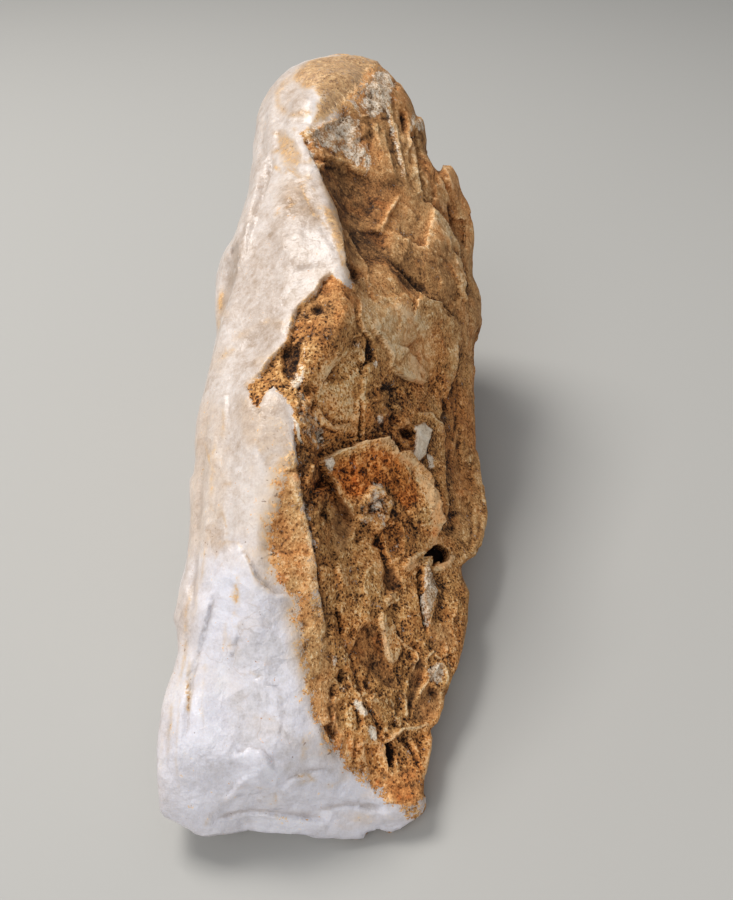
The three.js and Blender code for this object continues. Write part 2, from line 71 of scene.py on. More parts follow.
OUTLINE = [
    (159.4, 812), (158.8, 794), (157.8, 769), (157.2, 747), (159.4, 725), (161.9, 706), (166.6, 687.5), (172.8, 672), (178.4, 653),
    (177.5, 631), (174.6, 619), (176.5, 604), (179.4, 587), (185.6, 571), (188, 556), (189.7, 534), (191, 515), (189.7, 496),
    (190, 479), (194, 474), (196, 459), (195, 443), (196.5, 421), (199.7, 406), (204, 390), (207.5, 374), (212, 359),
    (215, 345), (217.4, 335), (216.6, 326), (214.7, 310), (215, 291), (217.2, 272.5), (220.3, 260), (226.6, 247.5), (232.8, 238),
    (240.6, 219), (246.9, 197.5), (249.4, 185), (250, 175.6), (252.5, 160), (253, 144), (256, 132), (257.8, 116), (262.5, 102),
    (270, 88), (281, 75.6), (290, 69), (305, 61.5), (320, 57.5), (340, 55.5), (362, 57.5), (378, 61.5), (381, 66),
    (388.8, 72), (394.7, 78), (402, 86), (409.4, 98), (413.8, 110), (416.8, 118.5), (420, 116.5), (422.8, 119), (424, 126),
    (425.6, 139), (426.5, 151), (431.5, 161.5), (435.9, 170), (440.3, 171.8), (443.2, 164.4), (446, 166), (450.6, 162.4), (455.9, 167.4),
    (457.9, 177.6), (458.8, 186.5), (463.8, 198), (469.7, 210), (474, 224.7), (474.9, 236.5), (472.8, 248), (470.7, 263), (472, 277.6),
    (477.4, 286.5), (481, 298), (480.4, 313), (481.5, 321.8), (475.8, 333.5), (473.2, 350), (472.8, 369), (472, 393), (473.5, 413.5),
    (474.7, 437), (475.8, 457.6), (478.8, 472), (482.6, 487), (485.5, 505), (486.7, 516.5), (484.6, 531), (480.4, 543), (476.7, 554.7),
    (466.8, 559.5), (461, 566.5), (461, 575), (465.4, 587), (468.9, 591.5), (467.8, 604.7), (467, 618), (464, 635), (461.2, 653),
    (458.2, 667.6), (452.2, 679), (447.8, 691), (444.2, 709), (441.9, 717.6), (438.3, 725), (433, 727.4), (430.8, 730), (433.2, 738),
    (431.7, 750), (428.7, 764.7), (424.6, 776.5), (423.8, 791), (424.8, 803), (422.6, 811.8), (413.8, 822), (402, 828.5), (388.8, 834),
    (380, 837.5), (372, 841), (357, 845), (345, 842), (335, 838), (318, 840), (300, 837.5), (290, 839.5), (280.6, 837.5),
    (268, 840), (249.4, 838.6), (233.8, 837), (218, 839), (204, 842), (196, 838), (188.4, 831.5), (177.5, 825), (166.6, 819),
]


# ---------------------------------------------------------------- geometry core
EYE_H, PITCH, FPX, EU, EV = 165.0, math.radians(36.9), 934.0, 366.5, 450.0
CX, CY = -4.28, 186.09
SP, CP = math.sin(PITCH), math.cos(PITCH)


def project(x, d, z):
    s = d * CP + (EYE_H - z) * SP
    return EU + FPX * x / s, EV + FPX * ((EYE_H - z) * CP - d * SP) / s, s


def sstep(a, b, t):
    t = np.clip((t - a) / (b - a), 0.0, 1.0)
    return t * t * (3 - 2 * t)


def lattice(i, j, k, seed):
    u = np.uint32
    with np.errstate(over='ignore'):
        h = (i.astype(np.int64) * 374761393 + j.astype(np.int64) * 668265263
             + k.astype(np.int64) * 1274126177 + seed * 974634777) & 0xFFFFFFFF
        h = ((h ^ (h >> 13)) * 1274126177) & 0xFFFFFFFF
        h = ((h ^ (h >> 16)) * 2246822519) & 0xFFFFFFFF
        h = (h ^ (h >> 15)) & 0xFFFFFFFF
    return h / 4294967296.0


def noise(x, y, z, seed):
    """Smooth lattice noise in -1..1 at scattered points."""
    xf, yf, zf = np.floor(x), np.floor(y), np.floor(z)
    a, b, c = x - xf, y - yf, z - zf
    a, b, c = a * a * (3 - 2 * a), b * b * (3 - 2 * b), c * c * (3 - 2 * c)
    i0, j0, k0 = int(xf.min()), int(yf.min()), int(zf.min())
    i, j, k = (xf - i0).astype(np.int32), (yf - j0).astype(np.int32), (zf - k0).astype(np.int32)
    n = (int(i.max()) + 2, int(j.max()) + 2, int(k.max()) + 2)
    if n[0] * n[1] * n[2] < 3000000:
        I, J, K = np.meshgrid(np.arange(n[0]) + i0, np.arange(n[1]) + j0, np.arange(n[2]) + k0, indexing='ij')
        T = lattice(I, J, K, seed).astype(np.float32).ravel()
    else:
        # very fine noise repeats every 96 steps
        n = (97, 97, 97)
        i, j, k = i % 96, j % 96, k % 96
        q = np.arange(97) % 96
        I, J, K = np.meshgrid(q, q, q, indexing='ij')
        T = lattice(I, J, K, seed).astype(np.float32).ravel()
    base = (i * n[1] + j) * n[2] + k
    g = lambda o: T[base + o]
    s1, s2 = n[1] * n[2], n[2]
    r = (((g(0) * (1 - c) + g(1) * c) * (1 - b) + (g(s2) * (1 - c) + g(s2 + 1) * c) * b) * (1 - a)
         + ((g(s1) * (1 - c) + g(s1 + 1) * c) * (1 - b) + (g(s1 + s2) * (1 - c) + g(s1 + s2 + 1) * c) * b) * a)
    return (r * 2 - 1).astype(np.float32)


def fbm(x, y, z, seed, size, octaves=3, gain=0.5, ridged=False):
    total, amp, norm = 0.0, 1.0, 0.0
    for o in range(octaves):
        f = (2.03 ** o) / size
        # each octave is turned, so that no lattice direction shows
        c, s = math.cos(0.7 + 1.3 * o), math.sin(0.7 + 1.3 * o)
        xr, yr = (c * x + s * y), (-s * x + c * y)
        yr2, zr = (c * yr + s * z), (-s * yr + c * z)
        n = noise(xr * f, yr2 * f, zr * f, seed + 17 * o)
        if ridged:
            n = 1 - 2 * np.abs(n)
        total = total + amp * n
        norm += amp
        amp *= gain
    return total / norm


def cells(x, y, z, seed, size, jitter=0.9):
    """Distances to the nearest and second nearest cell point, and the nearest one's random number."""
    x, y, z = x / size, y / size, z / size
    xf, yf, zf = np.floor(x), np.floor(y), np.floor(z)
    d1 = np.full(x.shape, 9.0, np.float32)
    d2 = np.full(x.shape, 9.0, np.float32)
    cid = np.zeros(x.shape, np.float32)
    i0, j0, k0 = int(xf.min()) - 1, int(yf.min()) - 1, int(zf.min()) - 1
    n = (int(xf.max()) - i0 + 2, int(yf.max()) - j0 + 2, int(zf.max()) - k0 + 2)
    I, J, K = np.meshgrid(np.arange(n[0]) + i0, np.arange(n[1]) + j0, np.arange(n[2]) + k0, indexing='ij')
    tx = (I + 0.5 + jitter * (lattice(I, J, K, seed) - 0.5)).astype(np.float32).ravel()
    ty = (J + 0.5 + jitter * (lattice(I, J, K, seed + 1) - 0.5)).astype(np.float32).ravel()
    tz = (K + 0.5 + jitter * (lattice(I, J, K, seed + 2) - 0.5)).astype(np.float32).ravel()
    tr = lattice(I, J, K, seed + 3).astype(np.float32).ravel()
    base = (((xf - i0).astype(np.int32) * n[1] + (yf - j0).astype(np.int32)) * n[2] + (zf - k0).astype(np.int32))
    x, y, z = x.astype(np.float32), y.astype(np.float32), z.astype(np.float32)
    for di in (-1, 0, 1):
        for dj in (-1, 0, 1):
            for dk in (-1, 0, 1):
                q = base + ((di * n[1] + dj) * n[2] + dk)
                dd = (tx[q] - x) ** 2 + (ty[q] - y) ** 2 + (tz[q] - z) ** 2
                near = dd < d1
                d2 = np.where(near, d1, np.minimum(d2, dd))
                cid = np.where(near, tr[q], cid)
                d1 = np.where(near, dd, d1)
    return np.sqrt(d1) * size, np.sqrt(d2) * size, cid


def facets(x, y, z, seed, size, jitter=0.85):
    """Broken stone: a random slope in each cell, about -0.5..0.5, the cell's random number, and the gap to the next cell."""
    x, y, z = x / size, y / size, z / size
    xf, yf, zf = np.floor(x), np.floor(y), np.floor(z)
    i0, j0, k0 = int(xf.min()) - 1, int(yf.min()) - 1, int(zf.min()) - 1
    n = (int(xf.max()) - i0 + 2, int(yf.max()) - j0 + 2, int(zf.max()) - k0 + 2)
    I, J, K = np.meshgrid(np.arange(n[0]) + i0, np.arange(n[1]) + j0, np.arange(n[2]) + k0, indexing='ij')
    ta = [(q + 0.5 + jitter * (lattice(I, J, K, seed + m) - 0.5)).astype(np.float32).ravel() for m, q in enumerate((I, J, K))]
    base = (((xf - i0).astype(np.int32) * n[1] + (yf - j0).astype(np.int32)) * n[2] + (zf - k0).astype(np.int32))
    x, y, z = x.astype(np.float32), y.astype(np.float32), z.astype(np.float32)
    d1 = np.full(x.shape, 9.0, np.float32)
    d2 = np.full(x.shape, 9.0, np.float32)
    best = np.zeros(x.shape, np.int32)
    for di in (-1, 0, 1):
        for dj in (-1, 0, 1):
            for dk in (-1, 0, 1):
                q = base + ((di * n[1] + dj) * n[2] + dk)
                dd = (ta[0][q] - x) ** 2 + (ta[1][q] - y) ** 2 + (ta[2][q] - z) ** 2
                near = dd < d1
                d2 = np.where(near, d1, np.minimum(d2, dd))
                best = np.where(near, q, best)
                d1 = np.where(near, dd, d1)
    # the slope of each cell
    g = [(lattice(I, J, K, seed + 5 + m) * 2 - 1).astype(np.float32).ravel() for m in range(3)]
    gl = np.sqrt(g[0] ** 2 + g[1] ** 2 + g[2] ** 2) + 1e-3
    r = lattice(I, J, K, seed + 9).astype(np.float32).ravel()
    t = ((x - ta[0][best]) * g[0][best] + (y - ta[1][best]) * g[1][best] + (z - ta[2][best]) * g[2][best]) / gl[best]
    return t, r[best], np.sqrt(d2) - np.sqrt(d1)


# ------------------------------------------------------------------ flat maps
# Features of the seen faces are laid out on a flat map: the stone as it is seen
# from the eye point.  Each map is drawn from strokes and patches given here.
MW, MH = 620, 900          # map size; one unit is one outline unit
MU, MV = 0, 0


class Map:
    def __init__(self):
        self.a = np.zeros((MH, MW), np.float32)

    def window(self, pts, r):
        p = np.asarray(pts, float)
        x0, y0 = np.floor(p.min(0) - r).astype(int)
        x1, y1 = np.ceil(p.max(0) + r).astype(int) + 1
        x0, y0 = max(x0, 0), max(y0, 0)
        x1, y1 = min(x1, MW), min(y1, MH)
        U, V = np.meshgrid(np.arange(x0, x1, dtype=np.float32), np.arange(y0, y1, dtype=np.float32))
        return U, V, (slice(y0, y1), slice(x0, x1))

    @staticmethod
    def line(U, V, pts):
        """Distance to a polyline, its signed side (positive to the right of travel) and place along it 0..1."""
        best = np.full(U.shape, 1e9, np.float32)
        side = np.zeros(U.shape, np.float32)
        along = np.zeros(U.shape, np.float32)
        seg = [math.hypot(pts[i + 1][0] - pts[i][0], pts[i + 1][1] - pts[i][1]) for i in range(len(pts) - 1)]
        tot, run = sum(seg) + 1e-9, 0.0
        for i in range(len(pts) - 1):
            (x0, y0), (x1, y1) = pts[i], pts[i + 1]
            ex, ey = x1 - x0, y1 - y0
            L = ex * ex + ey * ey + 1e-9
            ax, ay = U - x0, V - y0
            t = np.clip((ax * ex + ay * ey) / L, 0, 1)
            d = (ax - t * ex) ** 2 + (ay - t * ey) ** 2
            m = d < best
            best = np.where(m, d, best)
            side = np.where(m, ex * ay - ey * ax, side)
            along = np.where(m, (run + t * seg[i]) / tot, along)
            run += seg[i]
        return np.sqrt(best), np.sign(side), along

    @staticmethod
    def inside(U, V, poly):
        """Signed distance to a closed outline, positive inside."""
        best = np.full(U.shape, 1e9, np.float32)
        ins = np.zeros(U.shape, bool)
        n = len(poly)
        for i in range(n):
            (x0, y0), (x1, y1) = poly[i], poly[(i + 1) % n]
            ex, ey = x1 - x0, y1 - y0
            ax, ay = U - x0, V - y0
            t = np.clip((ax * ex + ay * ey) / (ex * ex + ey * ey + 1e-9), 0, 1)
            best = np.minimum(best, (ax - t * ex) ** 2 + (ay - t * ey) ** 2)
            if y0 != y1:
                ins ^= ((y0 > V) != (y1 > V)) & (U < (x1 - x0) * (V - y0) / (y1 - y0) + x0)
        d = np.sqrt(best)
        return np.where(ins, d, -d)

    def wob(self, U, V, amp=1.6, size=9.0, seed=5):
        """Hand-drawn unevenness for outlines."""
        z = np.zeros_like(U)
        return (U + amp * fbm(U, V, z, seed, size, 2), V + amp * fbm(U, V, z + 40, seed + 3, size, 2))

    def ridge(self, pts, w, h, taper=True, mode='add'):
        U, V, sl = self.window(pts, 3.2 * w + 3)
        Uw, Vw = self.wob(U, V, 1.2, 7.0)
        d, s, t = self.line(Uw, Vw, pts)
        k = h * np.exp(-(d / w) ** 2)
        if taper:
            k = k * np.clip(np.minimum(t, 1 - t) * 5 + 0.25, 0, 1)
        if mode == 'add':
            self.a[sl] += k
        else:
            self.a[sl] = np.maximum(self.a[sl], k)

    def scarp(self, pts, h, L, low=0.35, edge=1.3, lowL=None):
        """A broken edge: high on the right of travel, falling off over L, with a shallow trough on the left."""
        lowL = lowL or L * 0.6
        U, V, sl = self.window(pts, 2.6 * max(L, lowL) + 3)
        Uw, Vw = self.wob(U, V, 1.3, 7.0)
        d, s, t = self.line(Uw, Vw, pts)
        sd = d * s
        up = h * np.exp(-np.clip(sd, 0, None) / L)
        dn = -h * low * np.exp(-np.clip(-sd, 0, None) / lowL)
        m = sstep(-edge, edge, sd)
        fade = np.clip(np.minimum(t, 1 - t) * 6 + 0.05, 0, 1)
        # beyond the ends the effect dies out with distance
        self.a[sl] += (up * m + dn * (1 - m)) * fade

    def patch(self, poly, h, feather=3.0, wob=1.6, tilt=(0, 0), mode='add'):
        U, V, sl = self.window(poly, feather + 6)
        Uw, Vw = self.wob(U, V, wob, 8.0)
        d = self.inside(Uw, Vw, poly)
        c = np.mean(np.asarray(poly, float), 0)
        k = (h + tilt[0] * (U - c[0]) + tilt[1] * (V - c[1])) * sstep(-feather * 0.5, feather * 0.5, d)
        if mode == 'add':
            self.a[sl] += k
        elif mode == 'max':
            self.a[sl] = np.maximum(self.a[sl], k)
        else:
            m = sstep(-feather * 0.5, feather * 0.5, d)
            self.a[sl] = self.a[sl] * (1 - m) + h * m

    def blob(self, x, y, rx, ry, ang, h, power=2.0, mode='add'):
        r = max(rx, ry) * 2.2 + 2
        U, V, sl = self.window([(x, y)], r)
        Uw, Vw = self.wob(U, V, 1.0, 6.0)
        c, s = math.cos(math.radians(ang)), math.sin(math.radians(ang))
        a, b = (c * (Uw - x) + s * (Vw - y)) / rx, (-s * (Uw - x) + c * (Vw - y)) / ry
        k = h * np.exp(-(a * a + b * b) ** (power / 2))
        if mode == 'add':
            self.a[sl] += k
        else:
            self.a[sl] = np.maximum(self.a[sl], k)

    def at(self, u, v):
        x = np.clip(u, 0, MW - 1.01)
        y = np.clip(v, 0, MH - 1.01)
        i, j = x.astype(np.int32), y.astype(np.int32)
        fx, fy = (x - i).astype(np.float32), (y - j).astype(np.float32)
        a = self.a
        return (a[j, i] * (1 - fx) + a[j, i + 1] * fx) * (1 - fy) + (a[j + 1, i] * (1 - fx) + a[j + 1, i + 1] * fx) * fy


# ------------------------------------------------------------ distance field
def cage():
    R = np.array(RINGS, float)
    n, m, _ = R.shape
    V = list(map(tuple, R.reshape(-1, 3)))
    c0, c1 = R[0].mean(0), R[-1].mean(0)
    V += [(c0[0], c0[1] + 0.5, c0[2] - 0.5), (c1[0], c1[1] + 0.8, c1[2])]
    V = np.array(V)
    T = []
    for i in range(n - 1):
        for j in range(m):
            a, b, c, d = i * m + j, i * m + (j + 1) % m, (i + 1) * m + (j + 1) % m, (i + 1) * m + j
            if np.linalg.norm(V[a] - V[c]) < np.linalg.norm(V[b] - V[d]):
                T += [(a, b, c), (a, c, d)]
            else:
                T += [(a, b, d), (b, c, d)]
    k = n * m
    for j in range(m):
        T.append((k, (j + 1) % m, j))
        T.append((k + 1, (n - 1) * m + j, (n - 1) * m + (j + 1) % m))
    return V, np.array(T)


def cage_field(lo, hi, h):
    V, T = cage()
    n = [int(math.ceil((hi[k] - lo[k]) / h)) + 1 for k in range(3)]
    ax = [lo[k] + h * np.arange(n[k]) for k in range(3)]
    band = 14.0
    D2 = np.full(n, 1e6, np.float32)
    cross = np.zeros(n, np.int8)
    yy, zz = ax[1] + 1.37e-3, ax[2] + 2.71e-3
    for t in T:
        a, b, c = V[t[0]], V[t[1]], V[t[2]]
        mn, mx = np.minimum(np.minimum(a, b), c), np.maximum(np.maximum(a, b), c)
        i0 = [max(0, int((mn[k] - band - lo[k]) / h)) for k in range(3)]
        i1 = [min(n[k], int((mx[k] + band - lo[k]) / h) + 2) for k in range(3)]
        X = (ax[0][i0[0]:i1[0]] - a[0])[:, None, None]
        Y = (ax[1][i0[1]:i1[1]] - a[1])[None, :, None]
        Z = (ax[2][i0[2]:i1[2]] - a[2])[None, None, :]
        e0, e1 = b - a, c - a
        d00, d01, d11 = e0 @ e0, e0 @ e1, e1 @ e1
        den = d00 * d11 - d01 * d01
        if den < 1e-9:
            continue
        p0, p1 = X * e0[0] + Y * e0[1] + Z * e0[2], X * e1[0] + Y * e1[1] + Z * e1[2]
        pp = X * X + Y * Y + Z * Z
        s, q = (d11 * p0 - d01 * p1) / den, (d00 * p1 - d01 * p0) / den
        ins = (s >= 0) & (q >= 0) & (s + q <= 1)

        def edge(q0, qq, ee):
            k = np.clip(q0 / ee, 0, 1)
            return qq - 2 * k * q0 + k * k * ee
        e2 = c - b
        dd = np.where(ins, pp - (s * p0 + q * p1),
                      np.minimum(np.minimum(edge(p0, pp, d00), edge(p1, pp, d11)),
                                 edge((p1 - d01) - (p0 - d00), pp - 2 * p0 + d00, e2 @ e2)))
        sl = tuple(slice(i0[k], i1[k]) for k in range(3))
        D2[sl] = np.minimum(D2[sl], dd)
        y0, y1 = np.searchsorted(yy, [mn[1], mx[1]])
        z0, z1 = np.searchsorted(zz, [mn[2], mx[2]])
        nrm = np.cross(e0, e1)
        if y1 <= y0 or z1 <= z0 or abs(nrm[0]) < 1e-12:
            continue
        Yc, Zc = np.meshgrid(yy[y0:y1], zz[z0:z1], indexing='ij')

        def sg(u, v):
            return (v[1] - u[1]) * (Zc - u[2]) - (v[2] - u[2]) * (Yc - u[1])
        s1, s2, s3 = sg(a, b), sg(b, c), sg(c, a)
        hit = ((s1 >= 0) & (s2 >= 0) & (s3 >= 0)) | ((s1 <= 0) & (s2 <= 0) & (s3 <= 0))
        xs = a[0] - ((Yc - a[1]) * nrm[1] + (Zc - a[2]) * nrm[2]) / nrm[0]
        for i, j in zip(*np.nonzero(hit)):
            k = int(math.ceil((xs[i, j] - lo[0]) / h))
            if k < n[0]:
                cross[max(k, 0):, y0 + i, z0 + j] ^= 1
    D = np.minimum(np.sqrt(np.clip(D2, 0, None)), band)
    D[cross == 1] *= -1
    return D, ax


def smooth3(D, sig):
    r = max(1, int(math.ceil(3 * sig)))
    w = np.exp(-.5 * (np.arange(-r, r + 1) / sig) ** 2)
    w /= w.sum()
    for a in range(3):
        P = np.pad(D, [(r, r) if i == a else (0, 0) for i in range(3)], mode='edge')
        O = np.zeros_like(D)
        for i, k in enumerate(w):
            sl = [slice(None)] * 3
            sl[a] = slice(i, i + D.shape[a])
            O += np.float32(k) * P[tuple(sl)]
        D = O
    return D


def refine(D, src, dst):
    """Cubic resampling of a field from one regular grid to another."""
    for a in range(3):
        h = src[a][1] - src[a][0]
        t = (dst[a] - src[a][0]) / h
        i = np.clip(np.floor(t).astype(int), 1, len(src[a]) - 3)
        f = t - i
        W = np.zeros((len(dst[a]), len(src[a])), np.float32)
        r = np.arange(len(dst[a]))
        W[r, i - 1] += -.5 * f + f * f - .5 * f ** 3
        W[r, i] += 1 - 2.5 * f * f + 1.5 * f ** 3
        W[r, i + 1] += .5 * f + 2 * f * f - 1.5 * f ** 3
        W[r, i + 2] += -.5 * f * f + .5 * f ** 3
        D = np.moveaxis(np.tensordot(W, D, axes=(1, a)), 0, a)
    return D.astype(np.float32)


def skin(F, ax):
    """Surface nets: vertices and quads of the zero surface."""
    h = ax[0][1] - ax[0][0]
    S = F < 0
    n0, n1, n2 = F.shape
    cnt = np.zeros((n0 - 1, n1 - 1, n2 - 1), np.uint8)
    for i in (0, 1):
        for j in (0, 1):
            for k in (0, 1):
                cnt += S[i:n0 - 1 + i, j:n1 - 1 + j, k:n2 - 1 + k]
    act = (cnt > 0) & (cnt < 8)
    I, J, K = np.nonzero(act)
    vid = np.full(act.shape, -1, np.int32)
    vid[I, J, K] = np.arange(len(I))
    P = np.zeros((len(I), 3), np.float64)
    N = np.zeros(len(I))
    for c in range(8):
        for bit in (1, 2, 4):
            if c & bit:
                continue
            d = c | bit
            f0 = F[I + (c & 1), J + ((c >> 1) & 1), K + ((c >> 2) & 1)].astype(np.float64)
            f1 = F[I + (d & 1), J + ((d >> 1) & 1), K + ((d >> 2) & 1)].astype(np.float64)
            m = (f0 < 0) != (f1 < 0)
            t = np.where(m, f0 / np.where(m, f0 - f1, 1), 0)
            q = np.stack([(c & 1) + t * (bit == 1), ((c >> 1) & 1) + t * (bit == 2), ((c >> 2) & 1) + t * (bit == 4)], 1)
            P += q * m[:, None]
            N += m
    P = P / N[:, None] + np.stack([I, J, K], 1)
    V = np.stack([ax[k][0] + h * P[:, k] for k in range(3)], 1)
    Q = []
    for axis in range(3):
        sl0 = [slice(1, -1)] * 3
        sl1 = [slice(1, -1)] * 3
        sl1[axis] = slice(2, None)
        a, b = S[tuple(sl0)], S[tuple(sl1)]
        ii, jj, kk = np.nonzero(a != b)
        fl = ~a[ii, jj, kk]
        ii, jj, kk = ii + 1, jj + 1, kk + 1
        o = {0: [(0, 1, 1), (0, 0, 1), (0, 0, 0), (0, 1, 0)],
             1: [(1, 0, 1), (1, 0, 0), (0, 0, 0), (0, 0, 1)],
             2: [(1, 1, 0), (0, 1, 0), (0, 0, 0), (1, 0, 0)]}[axis]
        q = np.stack([vid[ii - x, jj - y, kk - z] for x, y, z in o], 1)
        q[fl] = q[fl][:, ::-1]
        Q.append(q)
    return V, np.concatenate(Q)


# ------------------------------------------------------------------- features
CREST_TOP = [(300, 133), (306, 145), (311, 157), (317, 168), (322, 178), (327, 190), (333, 204), (338, 215), (341, 228),
             (343, 242), (345, 256), (348, 272), (351, 288)]
TONGUE = [(338, 283), (330, 275), (323, 281), (317, 292), (308, 300), (299, 307), (294, 317), (292, 330), (288, 342), (279, 352),
          (270, 360), (263, 371), (256, 378), (247, 385)]
TONGUE_B = [(247, 385), (250, 396), (256, 408), (261, 402), (265, 391), (275, 387), (284, 398), (291, 408)]
CREASE = [(291, 408), (294, 424), (296, 441), (297, 458), (300, 478), (304, 500), (308, 518), (312, 540), (316, 564), (318, 585),
          (321, 604), (325, 622), (329, 642), (331, 662)]
RUST_EDGE = [(292, 598), (292, 612), (294, 626), (298, 644), (300, 660), (305, 672), (306, 682), (310, 692), (310, 704),
             (315, 718), (321, 730), (326, 742), (333, 754), (343, 764), (349, 772), (361, 778), (371, 786), (383, 796),
             (393, 802), (403, 806), (411, 814), (416, 819)]
STAIN_EDGE = [(293, 440), (289, 455), (283, 466), (279, 482), (276, 500), (270, 515), (266, 535), (268, 555), (274, 575), (282, 590), (292, 598)]
LIP = [(321, 461), (328, 456), (340, 450), (352, 447), (357, 443), (370, 440), (384, 438), (390, 444), (396, 452), (406, 453),
       (416, 462), (428, 478), (436, 498), (442, 520), (440, 532), (435, 541)]
BAND = [(216, 345), (222, 319), (230, 299), (238, 275), (240, 249), (248, 225), (260, 209), (270, 181), (275, 164)]
UNDER = [(207, 829), (222, 806), (240, 795), (262, 791), (300, 795), (340, 799), (375, 803), (400, 803), (421, 799)]


